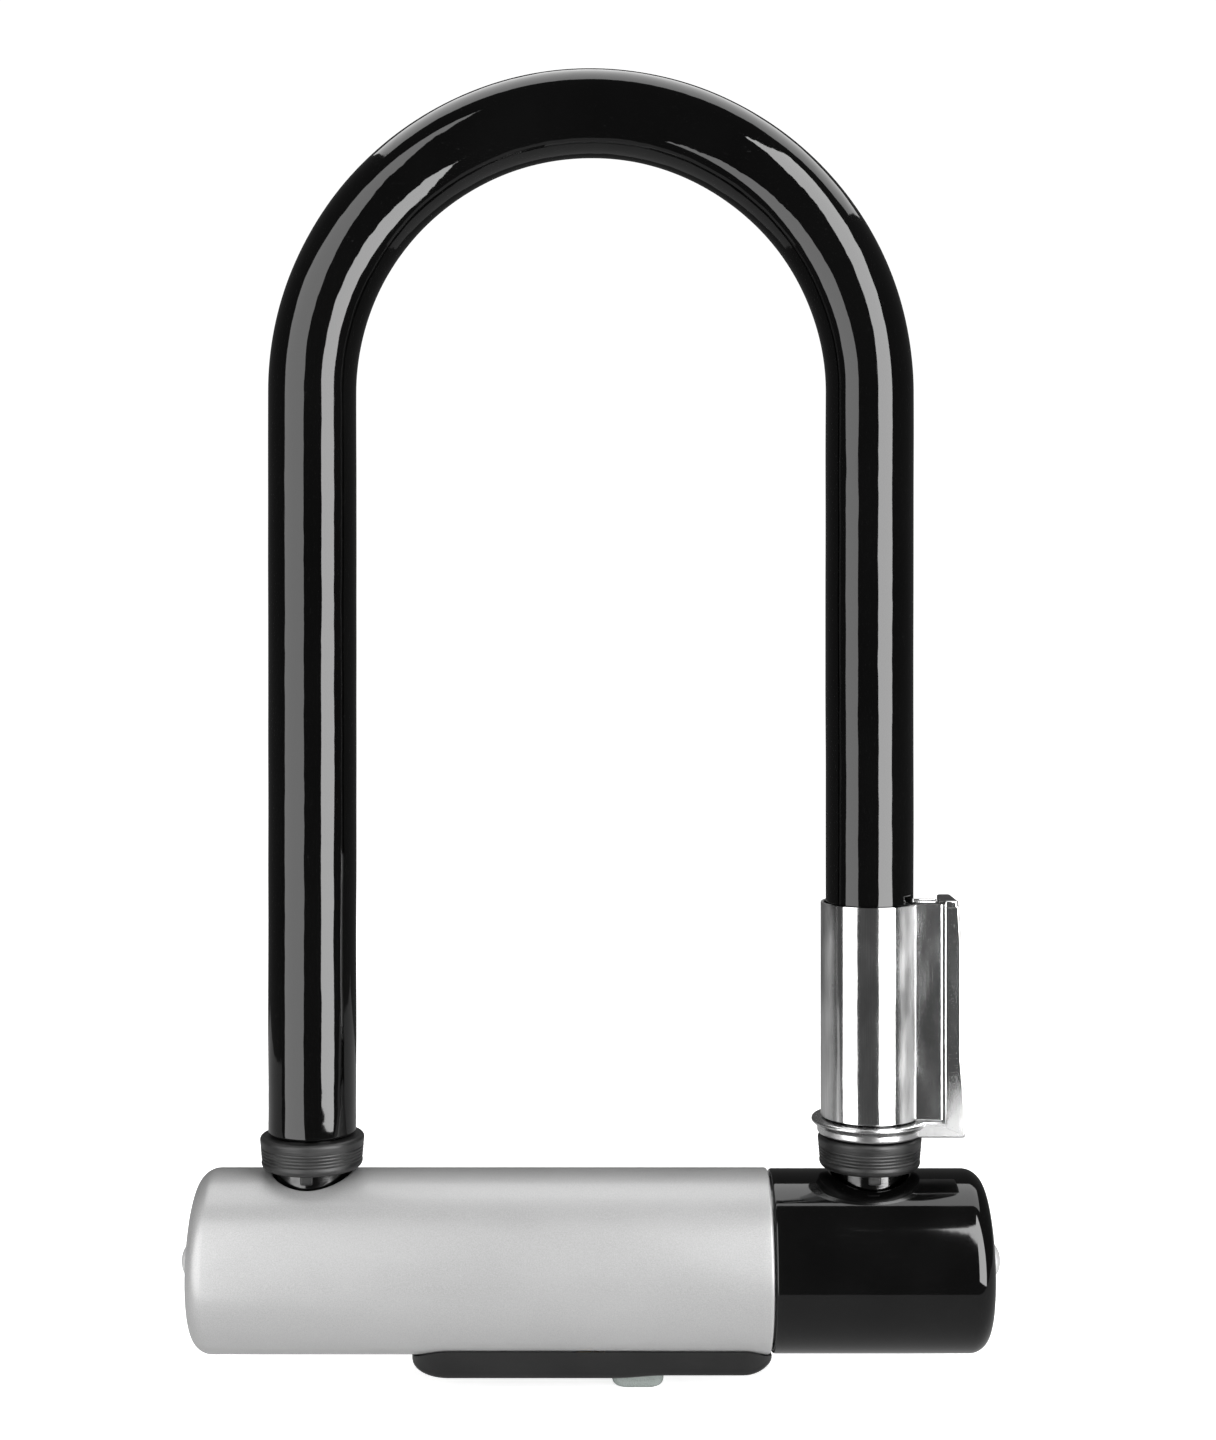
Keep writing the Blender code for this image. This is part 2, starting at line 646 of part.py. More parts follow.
def retaining_hole():
    hole = moved(rod(RETAINING_PIN_RADIUS + GAP, -BEYOND, BEYOND, PIN_SIDES), along="Y")
    return moved(hole, (RETAINING_PIN_X, 0.0, RETAINING_PIN_HEIGHT))


def make_retaining_pin(body):
    """Cross pin through both walls of the tube that lies in a groove in the housing's side."""
    reach = math.sqrt(TUBE_RADIUS ** 2 - RETAINING_PIN_HEIGHT ** 2) - 2 * GAP
    bm = moved(rod(RETAINING_PIN_RADIUS, -reach, reach, PIN_SIDES), along="Y")
    place = (RETAINING_PIN_X, 0.0, RETAINING_PIN_HEIGHT)
    add_piece("cylinder_retaining_pin", bm, "bare_steel", body, location=place)


def make_circlip(body):
    """Open ring in the housing's groove, above the plug carrier's shoulder."""
    inner, outer = BOSS_RADIUS + GAP, GROOVE_RADIUS - GAP
    low, high = GROOVE_BOTTOM + GAP, GROOVE_TOP - GAP
    profile = [(inner, low), (outer, low), (outer, high), (inner, high)]
    bm = turned(profile, CYLINDER_SIDES, 2 * math.pi - CIRCLIP_OPENING)
    add_piece("cylinder_circlip", bm, "dark_steel", body, turn=CIRCLIP_OPENING / 2)


def make_plug_carrier(body):
    """Turning barrel: a cup for the discs below, and a boss with the cam's drive slot above."""
    profile = [
        (0.0, CUP_TOP),
        (CUP_RADIUS, CUP_TOP),
        (CUP_RADIUS, CARRIER_BOTTOM),
        (CARRIER_RADIUS, CARRIER_BOTTOM),
        (CARRIER_RADIUS, CARRIER_SHOULDER),
        (BOSS_RADIUS, CARRIER_SHOULDER),
        (BOSS_RADIUS, CARRIER_TOP),
        (0.0, CARRIER_TOP),
    ]
    carrier = add_piece("plug_carrier", turned(profile, CYLINDER_SIDES), "brass", body)
    half_x, half_y = (half + GAP for half in TANG_HALF)
    cut(carrier, box((-half_x, -half_y, TANG_BOTTOM - GAP), (half_x, half_y, 0.0)))
    low, high = sidebar_span()
    half = SIDEBAR_HALF_WIDTH + GAP
    cut(carrier, box((-half, CUP_RADIUS / 2, low - GAP), (half, HOUSING_BORE, high + GAP)))


def sidebar_span():
    """Lowest and highest point of the sidebar: beside the tumbler discs."""
    return ANTI_DRILL_TOP + 2 * GAP, CUP_TOP - 2 * GAP


def make_disc(name, body, bottom, top, gate):
    """Disc with a keyway slot, and a gate for the sidebar where it has one."""
    disc = add_piece(name, rod(DISC_RADIUS, bottom, top), "bare_steel", body)
    half_x, half_y = KEYWAY_HALF
    cut(disc, box((-half_x, -half_y, bottom - GAP), (half_x, half_y, top + GAP)))
    if gate:
        half = SIDEBAR_HALF_WIDTH + GAP
        cut(disc, box((-half, SIDEBAR_INNER - GAP, bottom - GAP), (half, HOUSING_BORE, top + GAP)))


def make_discs(body):
    make_disc("anti_drill_disc", body, ANTI_DRILL_BOTTOM, ANTI_DRILL_TOP, gate=False)
    for i in range(TUMBLER_COUNT):
        bottom = ANTI_DRILL_TOP + GAP + i * (DISC_THICKNESS + GAP)
        make_disc(f"tumbler_disc_{i + 1}", body, bottom, bottom + DISC_THICKNESS, gate=True)


def make_sidebar(body):
    low, high = sidebar_span()
    half = SIDEBAR_HALF_WIDTH
    bm = box((-half, SIDEBAR_INNER, low), (half, SIDEBAR_OUTER, high))
    add_piece("sidebar", bm, "bare_steel", body)


# ---------------------------------------------------------------- dust cover
def base_section(bm, x, depth, width):
    """One rounded trough section; depth and width are 1 where the base is full and 0 at its tips."""
    bottom = BASE_END_BOTTOM + (BASE_BOTTOM - BASE_END_BOTTOM) * depth
    top_half, bottom_half = (
        narrow + (wide - narrow) * width
        for narrow, wide in (BASE_TOP_HALF_WIDTHS, BASE_BOTTOM_HALF_WIDTHS)
    )
    half = [
        (top_half, BASE_SECTION_TOP),
        (bottom_half + BASE_EDGE / 2, bottom + 2 * BASE_EDGE),
        (bottom_half - BASE_EDGE / 3, bottom + BASE_EDGE / 2),
        (bottom_half - 2 * BASE_EDGE, bottom),
    ]
    outline = half + [(-y, z) for y, z in reversed(half)]
    return [bm.verts.new((x, y, z)) for y, z in outline]


def base_stations():
    """(x, depth, width) from a long rounded left end to a shallower right end that tapers off."""
    length = BASE_LEFT_END - BASE_LEFT_STRAIGHT
    stations = []
    for step in BASE_LEFT_STEPS:
        full = math.sqrt(1 - step ** 2)
        stations.append((-BASE_LEFT_STRAIGHT - length * step, full, full))
    full_end, shallow_start = BASE_SHALLOW_SPAN
    stations.append((full_end, 1.0, 1.0))
    stations += [(x, BASE_SHALLOW, 1.0) for x in (shallow_start, BASE_RIGHT_STRAIGHT)]
    return stations + list(BASE_RIGHT_END)


def make_dust_cover_base(body):
    bm = bmesh.new()
    rings = [base_section(bm, *station) for station in base_stations()]
    skin(bm, rings)
    bm.faces.new(rings[0])
    bm.faces.new(rings[-1])
    base = add_piece("dust_cover_base", bm, "dark_plastic", body)
    cut(base, moved(rod(SILVER_RADIUS + GAP, -LEG_X, LEG_X, BAR_SIDES), along="X"))
    half = SLIDER_HALF_WIDTH + GAP
    channel_end = SLIDER_END + SLIDER_TRAVEL + GAP
    cut(base, box((SLIDER_START - GAP, -half, BASE_FLOOR), (channel_end, half, BASE_SECTION_TOP + GAP)))
    half = TAB_HALF[1] + GAP
    window_end = TAB_X + TAB_HALF[0] + SLIDER_TRAVEL + GAP
    cut(base, box((WINDOW_START, -half, -AXIS_Z), (window_end, half, BASE_FLOOR + GAP)))
    head_recess = rod(COVER_SCREW_HEAD + GAP, -AXIS_Z, BASE_FLOOR + GAP, PIN_SIDES)
    cut(base, cover_screw_hole(), moved(head_recess, (COVER_SCREW_X, 0.0, 0.0)))


def cover_screw_hole():
    hole = rod(COVER_SCREW_SHANK + GAP, -BEYOND, -TUBE_BORE / 2, PIN_SIDES)
    return moved(hole, (COVER_SCREW_X, 0.0, 0.0))


def make_dust_cover_screw(body):
    head_bottom = BASE_BOTTOM + GAP
    profile = [
        (0.0, head_bottom),
        (COVER_SCREW_HEAD, head_bottom),
        (COVER_SCREW_HEAD, BASE_FLOOR),
        (COVER_SCREW_SHANK, BASE_FLOOR),
        (COVER_SCREW_SHANK, -TUBE_BORE - GAP),
        (0.0, -TUBE_BORE - GAP),
    ]
    place = (COVER_SCREW_X, 0.0, 0.0)
    bm = turned(profile, PIN_SIDES)
    screw = add_piece("dust_cover_screw", bm, "dark_steel", body, location=place)
    for half_x, half_y in (COVER_SCREW_CROSS, reversed(COVER_SCREW_CROSS)):
        cut(screw, box((-half_x, -half_y, -AXIS_Z), (half_x, half_y, head_bottom + GAP)))


def make_dust_cover_slider(body):
    low = (SLIDER_START, -SLIDER_HALF_WIDTH, SLIDER_BOTTOM)
    bm = box(low, (SLIDER_END, SLIDER_HALF_WIDTH, SLIDER_TOP))
    slider = add_piece("dust_cover_slider", bm, "dark_plastic", body)
    cut(slider, moved(rod(TAB_PEG_RADIUS + GAP, -BEYOND, 0.0, PIN_SIDES), (TAB_X, 0.0, 0.0)))


def make_thumb_tab(body):
    """Pale dome on the slider, with a peg up into the plate."""
    half_x, half_y = TAB_HALF
    top = SLIDER_BOTTOM - GAP
    bm = box((-half_x, -half_y, -AXIS_Z), (half_x, half_y, top))
    bmesh.ops.bevel(bm, geom=bm.edges[:], offset=TAB_ROUND, segments=TAB_ROUND_STEPS,
                    profile=0.5, affect="EDGES")
    tab = add_piece("thumb_tab", bm, "pale_plastic", body, location=(TAB_X, 0.0, 0.0))
    fuse(tab, rod(TAB_PEG_RADIUS, (top - AXIS_Z) / 2, SLIDER_TOP - GAP, PIN_SIDES))


# ---------------------------------------------------------------- assembly
def make_lock():
    clear_scene()
    crossbar = add_empty("crossbar_frame")
    shackle = add_empty("shackle_slide")
    plug = add_empty("plug_turn")
    slider = add_empty("dust_cover_slide")
    turns = {"left": math.pi, "right": 0.0}

    make_shackle_bar(shackle)
    make_shackle_coating(shackle)
    make_bracket_sleeve(shackle)
    make_bracket_carrier(shackle)
    for level, height in BRACKET_SCREW_HEIGHTS.items():
        make_bracket_screw(f"bracket_screw_{level}", shackle, height)

    make_crossbar_tube(crossbar)
    make_silver_sleeve(crossbar)
    make_black_end_sleeve(crossbar)
    make_cylinder_housing(crossbar)
    make_retaining_pin(crossbar)
    make_circlip(crossbar)
    make_dust_cover_base(crossbar)
    make_dust_cover_screw(crossbar)

    for side, turn in turns.items():
        make_collar(f"{side}_collar", shackle, math.cos(turn))
        make_end_plug(f"{side}_end_plug", crossbar, turn)
        make_plug_pin(f"{side}_plug_pin", crossbar, turn)
        make_end_rivet(f"{side}_end_rivet", crossbar, turn)
        make_bolt_guide(f"{side}_bolt_guide", crossbar, turn)
        bolt = add_empty(f"{side}_bolt_slide", turn)
        make_deadbolt(f"{side}_deadbolt", bolt)
        make_bolt_pin(f"{side}_bolt_pin", bolt)

    make_plug_carrier(plug)
    make_discs(plug)
    make_sidebar(plug)
    make_cam_disc(plug)
    make_dust_cover_slider(slider)
    make_thumb_tab(slider)


make_lock()
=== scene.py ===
"""Looks of the U lock: detailed pieces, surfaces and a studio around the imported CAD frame.

Metres, in the CAD part's frame: +Z up along the legs, +X towards the leg with the bracket, -Y to the front.
Heights are measured from the crossbar's axis; show() lifts each finished piece to its place.
Places and overall sizes come from the CAD nodes' boxes, and the constants add only the finer shape.
"""
import json
import math

import bmesh
import bpy
from mathutils import Matrix, Vector, noise


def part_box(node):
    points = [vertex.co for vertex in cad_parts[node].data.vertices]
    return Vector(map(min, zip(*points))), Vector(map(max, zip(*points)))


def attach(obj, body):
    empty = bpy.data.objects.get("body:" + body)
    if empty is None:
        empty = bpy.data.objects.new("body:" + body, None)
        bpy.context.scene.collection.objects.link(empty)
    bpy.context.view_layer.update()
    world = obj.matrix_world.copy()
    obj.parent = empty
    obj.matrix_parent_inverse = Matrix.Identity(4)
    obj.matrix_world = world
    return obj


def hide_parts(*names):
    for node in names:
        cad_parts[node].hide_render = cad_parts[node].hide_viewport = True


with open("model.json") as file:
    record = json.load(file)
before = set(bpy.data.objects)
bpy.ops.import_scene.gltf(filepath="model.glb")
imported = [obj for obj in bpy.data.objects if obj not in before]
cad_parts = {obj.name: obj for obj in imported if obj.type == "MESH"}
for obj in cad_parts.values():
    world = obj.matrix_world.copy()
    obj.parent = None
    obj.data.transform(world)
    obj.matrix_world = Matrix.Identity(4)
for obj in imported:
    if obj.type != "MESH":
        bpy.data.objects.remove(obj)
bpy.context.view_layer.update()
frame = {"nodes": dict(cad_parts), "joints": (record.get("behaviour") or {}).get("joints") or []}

MM = 0.001
GAP = 0.3 * MM
SHARP_ANGLE = math.radians(40)
QUARTER = math.pi / 2

# Crossbar shells
silver_low, silver_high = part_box("silver_sleeve")
AXIS = Vector((0.0, 0.0, (silver_low.z + silver_high.z) / 2))


def extent(node):
    """Lowest and highest corner of a CAD node, with heights taken from the crossbar's axis."""
    low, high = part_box(node)
    return low - AXIS, high - AXIS


SILVER_LOW, SILVER_HIGH = extent("silver_sleeve")
BLACK_LOW, BLACK_HIGH = extent("black_end_sleeve")
TUBE_HIGH = extent("crossbar_tube")[1]
HOUSING_HIGH = extent("cylinder_housing")[1]
SHELL_CORNER = 3.4 * MM
SHELL_DOME = 1.2 * MM
SHELL_INNER = TUBE_HIGH.z + GAP
SHELL_HOLE = 1.6 * MM
SEAM_ROUND = 0.5 * MM
HOLE_ROUND = 0.45 * MM
FOOT_HOLE = 6.9 * MM
HOLE_MARGIN = 1.3 * MM
FOOT_HOLE_CELLS = 24
CYLINDER_HOLE = HOUSING_HIGH.y + 2 * GAP
CYLINDER_HOLE_CELLS = 30
SHELL_SIDES = 144
SHELL_SPACING = 1.4 * MM
RIVET_SHANK = 1.3 * MM

# Shackle
COATING_LOW, COATING_HIGH = extent("shackle_coating")
BAR_LOW, BAR_HIGH = extent("shackle_bar")
COLLAR_LOW, COLLAR_HIGH = extent("left_collar")
COATING_RADIUS = COATING_HIGH.y
ROD_RADIUS = BAR_HIGH.y
LEG_X = COATING_HIGH.x - COATING_RADIUS
ARCH_Z = COATING_HIGH.z - COATING_RADIUS - LEG_X
COATING_SIDES = 72
COATING_SPACING = 1.2 * MM
COATING_LIP = 0.5 * MM
WAVE_DEPTH, WAVE_LENGTH = 0.07 * MM, 17 * MM
PUCKER_DEPTH, PUCKER_LENGTH, PUCKER_REACH = 0.10 * MM, 3.2 * MM, 7 * MM
BAR_SIDES = 64
BAR_SPACING = 3.0 * MM
FOOT_ROUND = 0.9 * MM
NOTCH_DEPTH = 4.9 * MM
NOTCH_HALF_HEIGHT = 4.5 * MM
COLLAR_SIDES = 96
COLLAR_BEAD = 0.7 * MM
COLLAR_LIP = 1.1 * MM
COLLAR_TAPER = 0.25 * MM
COLLAR_RIBS = 5
WAIST_LOW = COLLAR_LOW.z + 1.3 * MM
WAIST_HIGH = COLLAR_HIGH.z - 1.5 * MM
RIB_CREST = 0.05 * MM
RIB_GROOVE = 0.16 * MM
TONGUE_HALF = 1.1 * MM
TONGUE_THICKNESS = 0.9 * MM
TONGUE_DROP = 1.5 * MM
TONGUE_OVERLAP = 0.6 * MM

# Bracket, x from the right leg's axis
SLEEVE_LOW, SLEEVE_HIGH = extent("bracket_sleeve")
CARRIER_LOW, CARRIER_HIGH = extent("bracket_carrier")
LEG = Vector((LEG_X, 0.0, 0.0))
SLEEVE_RADIUS = SLEEVE_HIGH.y
SLEEVE_BORE = COATING_RADIUS + GAP
WING_END = SLEEVE_HIGH.x - LEG_X
WING_HALF = 4.0 * MM
EAR_THICKNESS = 0.9 * MM
WING_ROOT = 6.8 * MM
RUB_SHIFT, RUB_START, RUB_END = 1.2 * MM, 5.0 * MM, 6.2 * MM
EAR_CELLS = 12
EAR_RECESS = 0.02 * MM
EAR_RAMP = 0.2
EAR_FLAT_TOP = SLEEVE_LOW.z + 6.6 * MM
RING_TOP = SLEEVE_LOW.z - GAP
RING_BAND_RADIUS = 9.2 * MM
RING_BAND_TOP = 23.7 * MM
RING_SOFT = 0.45 * MM
FOOT_START = 7.0 * MM
FOOT_OUTER = CARRIER_HIGH.x - LEG_X
RAIL_START, RAIL_OUTER, RAIL_TOP_OUTER = 12.6 * MM, 15.4 * MM, 15.0 * MM
RAIL_HALF = 4.6 * MM
RAIL_ROUND = 0.3 * MM
RAIL_TOP = CARRIER_HIGH.z - 0.6 * MM
RAIL_FLARE = (
    (27.0 * MM, FOOT_OUTER), (31.5 * MM, 15.8 * MM), (36.0 * MM, RAIL_OUTER), (56.0 * MM, RAIL_OUTER))
WEB_START, WEB_HALF = 7.5 * MM, 2.8 * MM
SCREW_HEAD = 1.2 * MM
SCREW_SHANK = 1.0 * MM
SCREW_ROUND = 0.6 * MM
SLOT_HALF, SLOT_REACH, SLOT_DEPTH = 0.25 * MM, 1.3 * MM, 0.55 * MM
CARRIER_FOOT = CARRIER_LOW.z + AXIS.z

# Dust cover
BASE_LOW, BASE_HIGH = extent("dust_cover_base")
SLIDER_LOW, SLIDER_HIGH = extent("dust_cover_slider")
TAB_LOW, TAB_HIGH = extent("thumb_tab")
BASE_LEFT_ROUND = 6.6 * MM
BASE_FULL_END, BASE_SHALLOW_START, BASE_TAPER_START = 4.0 * MM, 13.0 * MM, 26.4 * MM
BASE_SHALLOW = 0.75
BASE_SPACING = 4.0 * MM
BASE_RISE = 1.9 * MM
BASE_TOP = -11.5 * MM
BASE_TOP_HALVES = (3.5 * MM, 10.0 * MM)
BASE_BOTTOM_HALVES = (2.0 * MM, 7.0 * MM)
BASE_CORNER = 1.3 * MM
BASE_FLOOR = SLIDER_LOW.z - GAP
TRAY_RIM, TRAY_DEPTH = 1.0 * MM, 0.4 * MM
TAB_CORNER, TAB_ROUND = 1.6 * MM, 1.7 * MM
COVER_SCREW_SHANK = 1.2 * MM
CROSS_LENGTH, CROSS_WIDTH, CROSS_DEPTH = 1.5 * MM, 0.3 * MM, 0.35 * MM


# ---------------------------------------------------------------- procedural surfaces
class Surface:
    """A Principled material whose colour, roughness and relief are built up node by node."""

    def __init__(self, name, metallic=0.0, **sockets):
        self.material = bpy.data.materials.new(name)
        self.material.use_nodes = True
        self.tree = self.material.node_tree
        self.shader = self.tree.nodes["Principled BSDF"]
        self.shader.inputs["Metallic"].default_value = metallic
        for socket, value in sockets.items():
            self.shader.inputs[socket.replace("_", " ")].default_value = value
        self.place = self.node("ShaderNodeTexCoord").outputs["Object"]
        self.edge = self.node("ShaderNodeAttribute", attribute_name="edge").outputs["Fac"]

    def node(self, kind, inputs=None, **settings):
        """Add a node; inputs may be values or other nodes' outputs."""
        node = self.tree.nodes.new(kind)
        for name, value in settings.items():
            setattr(node, name, value)
        for name, value in (inputs or {}).items():
            self.feed(node.inputs[name], value)
        return node

    def feed(self, socket, value):
        if isinstance(value, bpy.types.NodeSocket):
            self.tree.links.new(value, socket)
        else:
            socket.default_value = value

    def grain(self, size, stretch=(1.0, 1.0, 1.0), detail=2.0):
        """Noise from 0 to 1 with features of a size in metres, longer along an axis where stretched."""
        mapping = self.node("ShaderNodeMapping", {"Vector": self.place})
        mapping.inputs["Scale"].default_value = [1.0 / (size * factor) for factor in stretch]
        inputs = {"Vector": mapping.outputs["Vector"], "Scale": 1.0, "Detail": detail}
        return self.node("ShaderNodeTexNoise", inputs).outputs["Fac"]

    def between(self, value, low, high, start=0.3, end=0.7):
        """Carry a value's span from start to end over to low to high."""
        inputs = {"Value": value, "From Min": start, "From Max": end, "To Min": low, "To Max": high}
        return self.node("ShaderNodeMapRange", inputs).outputs["Result"]

    def product(self, first, second):
        return self.maths("MULTIPLY", first, second)

    def maths(self, operation, first, second):
        return self.node("ShaderNodeMath", {0: first, 1: second}, operation=operation).outputs[0]

    def blend(self, factor, first, second):
        """Mix two colours, each a grey value, an (r, g, b) or a colour output."""
        node = self.node("ShaderNodeMix", data_type="RGBA")
        self.feed(node.inputs["Factor"], factor)
        for socket, colour in zip((node.inputs[6], node.inputs[7]), (first, second)):
            self.feed(socket, as_colour(colour))
        return node.outputs[2]

    def relief(self, *layers):
        """Chain bumps, each a (height, depth in metres, strength)."""
        normal = None
        for height, depth, strength in layers:
            bump = self.node("ShaderNodeBump", {"Height": height, "Distance": depth})
            bump.inputs["Strength"].default_value = strength
            if normal is not None:
                self.tree.links.new(normal, bump.inputs["Normal"])
            normal = bump.outputs["Normal"]
        self.tree.links.new(normal, self.shader.inputs["Normal"])

    def finish(self, colour, roughness):
        self.feed(self.shader.inputs["Base Color"], as_colour(colour))
        self.feed(self.shader.inputs["Roughness"], roughness)
        return self.material


def as_colour(value):
    if isinstance(value, bpy.types.NodeSocket):
        return value
    if isinstance(value, tuple):
        return (*value, 1.0)
    return (value, value, value, 1.0)


def coating_surface():
    """Dipped vinyl: deep gloss, slow waves, upright drips, and a few dull handling marks."""
    s = Surface("gloss_black_vinyl")
    marks = s.between(s.grain(2.5 * MM, (1.0, 1.0, 3.0), detail=6.0), 0.0, 1.0, 0.66, 0.74)
    dust = s.between(s.grain(0.5 * MM), 0.0, 1.0, 0.70, 0.78)
    slow = s.grain(14 * MM, (1.0, 1.0, 2.0))
    colour = s.blend(s.between(slow, 0.0, 1.0), 0.0003, 0.0008)
    colour = s.blend(s.product(dust, 0.4), colour, 0.012)
    colour = s.blend(s.product(s.edge, 0.5), colour, 0.006)
    rough = s.maths("ADD", s.between(slow, 0.03, 0.055), s.product(marks, 0.08))
    drips = s.grain(5.0 * MM, (1.0, 1.0, 3.0))
    s.relief((slow, 0.25 * MM, 0.30), (drips, 0.22 * MM, 0.35), (s.grain(1.6 * MM), 0.02 * MM, 0.25))
    return s.finish(colour, rough)


def silver_surface():
    """Silver paint: fine flake, faint orange peel and clear lacquer, rubbed brighter at the edges."""
    s = Surface("silver_paint", metallic=0.5, Coat_Weight=0.25, Coat_Roughness=0.12)
    flake = s.grain(0.16 * MM, detail=1.0)
    cloud = s.grain(11 * MM, (2.0, 1.0, 1.0))
    colour = s.blend(s.between(flake, 0.0, 1.0, 0.25, 0.75), 0.26, 0.335)
    colour = s.blend(s.between(cloud, 0.0, 0.25), colour, 0.35)
    colour = s.blend(s.product(s.edge, 0.5), colour, 0.42)
    rough = s.maths("ADD", s.between(cloud, 0.42, 0.46), s.between(flake, -0.03, 0.03))
    s.relief((s.grain(0.22 * MM), 0.012 * MM, 0.5), (s.grain(1.3 * MM), 0.02 * MM, 0.2))
    return s.finish(colour, rough)


def black_shell_surface():
    """Gloss black moulding with faint peel and fine hairline marks."""
    s = Surface("gloss_black_shell")
    hair = s.between(s.grain(0.5 * MM, (14.0, 1.0, 1.0), detail=3.0), 0.0, 1.0, 0.62, 0.74)
    slow = s.grain(9 * MM)
    colour = s.blend(s.between(slow, 0.0, 1.0), 0.0007, 0.0013)
    colour = s.blend(s.product(s.edge, 0.6), colour, 0.006)
    rough = s.maths("ADD", s.between(slow, 0.04, 0.07), s.product(hair, 0.06))
    s.relief((s.grain(1.5 * MM), 0.015 * MM, 0.2))
    return s.finish(colour, rough)


def rubber_surface():
    """Grey-black rubber with turned lines round it and a dusty bloom."""
    s = Surface("collar_rubber_surface")
    lines = s.grain(0.28 * MM, (30.0, 30.0, 1.0))
    bloom = s.grain(1.8 * MM, (2.0, 2.0, 0.8), detail=5.0)
    colour = s.blend(s.between(bloom, 0.0, 1.0, 0.35, 0.7), 0.004, 0.013)
    colour = s.blend(s.between(lines, 0.0, 0.5, 0.45, 0.7), colour, 0.018)
    rough = s.maths("ADD", s.between(bloom, 0.34, 0.52), s.between(lines, -0.04, 0.04))
    s.relief((lines, 0.06 * MM, 0.6), (s.grain(0.12 * MM), 0.015 * MM, 0.5))
    return s.finish(colour, rough)


def sleeve_surface():
    """Bright rolled sheet with upright polishing lines and light stains, rubbed dull down both sides."""
    s = Surface("polished_sheet", metallic=1.0)
    lines = s.grain(0.22 * MM, (1.0, 1.0, 60.0), detail=3.0)
    stain = s.grain(3.0 * MM, (1.0, 1.0, 3.0), detail=4.0)
    colour = s.blend(s.between(stain, 0.0, 1.0), 0.62, 0.88)
    colour = s.blend(s.between(lines, 0.0, 0.45), colour, 0.55)
    across = s.node("ShaderNodeSeparateXYZ", {"Vector": s.place}).outputs["X"]
    beside = s.maths("ABSOLUTE", s.maths("SUBTRACT", across, LEG_X - RUB_SHIFT), 0.0)
    rubbed = s.product(s.between(beside, 0.0, 0.30, RUB_START, RUB_END),
                       s.between(across, 1.0, 0.0, LEG_X + WING_ROOT, LEG_X + WING_ROOT + MM))
    rough = s.maths("ADD", s.between(stain, 0.07, 0.12), s.between(lines, -0.02, 0.02))
    rough = s.maths("ADD", rough, s.product(rubbed, s.between(stain, 0.8, 1.2)))
    s.relief((lines, 0.012 * MM, 0.3), (stain, 0.06 * MM, 0.25))
    return s.finish(colour, rough)


def cast_surface():
    """Cast and tumbled metal: soft lumps, pits and smeared bright patches, duller towards the foot."""
    s = Surface("cast_bracket_metal", metallic=1.0)
    lumps = s.grain(3.0 * MM, (1.0, 1.0, 2.2), detail=3.0)
    pits = s.between(s.grain(0.35 * MM, detail=3.0), 1.0, 0.0, 0.26, 0.36)
    colour = s.blend(s.between(lumps, 0.0, 1.0), 0.50, 0.72)
    colour = s.blend(s.product(pits, 0.5), colour, 0.25)
    colour = s.blend(s.product(s.edge, 0.5), colour, 0.88)
    height = s.node("ShaderNodeSeparateXYZ", {"Vector": s.place}).outputs["Z"]
    dull = s.between(height, 0.22, 0.0, CARRIER_FOOT, CARRIER_FOOT + 12 * MM)
    rough = s.maths("ADD", s.between(lumps, 0.10, 0.06), s.maths("ADD", dull, s.product(pits, 0.15)))
    s.relief((lumps, 0.05 * MM, 0.30), (s.grain(0.5 * MM, detail=3.0), 0.008 * MM, 0.25))
    return s.finish(colour, rough)


def turned_surface(name, dark, bright, smooth=0.10, dull=0.20):
    """Machined metal: rings of tool marks across the legs' direction, fine stains and bright edges."""
    s = Surface(name, metallic=1.0)
    marks = s.grain(0.20 * MM, (25.0, 25.0, 1.0), detail=3.0)
    stain = s.grain(2.4 * MM, detail=5.0)
    scratch = s.between(s.grain(0.18 * MM, (1.0, 1.0, 40.0)), 0.0, 1.0, 0.66, 0.76)
    colour = s.blend(s.between(stain, 0.0, 1.0), dark, bright)
    colour = s.blend(s.product(s.edge, 0.6), colour, bright * 1.25)
    rough = s.maths("ADD", s.between(stain, dull, smooth), s.product(scratch, 0.12))
    s.relief((marks, 0.02 * MM, 0.4), (scratch, 0.01 * MM, 0.3))
    return s.finish(colour, rough)


def painted_rivet_surface():
    """Dull zinc-grey paint over the rivets' heads, rubbed paler round the rim."""
    s = Surface("painted_rivet", metallic=0.45)
    patches = s.grain(0.9 * MM, detail=4.0)
    fine = s.grain(0.15 * MM)
    colour = s.blend(s.between(patches, 0.0, 1.0), 0.34, 0.50)
    colour = s.blend(s.product(s.edge, 0.4), colour, 0.60)
    rough = s.maths("ADD", s.between(patches, 0.50, 0.40), s.between(fine, -0.04, 0.04))
    s.relief((fine, 0.01 * MM, 0.4), (patches, 0.04 * MM, 0.3))
    return s.finish(colour, rough)


def brass_surface():
    """Machined brass: rings of tool marks and soft patches of tarnish."""
    s = Surface("machined_brass", metallic=1.0)
    marks = s.grain(0.20 * MM, (20.0, 20.0, 1.0), detail=3.0)
    tarnish = s.grain(2.6 * MM, detail=3.0)
    colour = s.blend(s.between(tarnish, 0.0, 1.0), (0.58, 0.42, 0.18), (0.78, 0.60, 0.30))
    rough = s.maths("ADD", s.between(tarnish, 0.36, 0.20), s.between(marks, -0.03, 0.03))
    s.relief((marks, 0.02 * MM, 0.4))
    return s.finish(colour, rough)


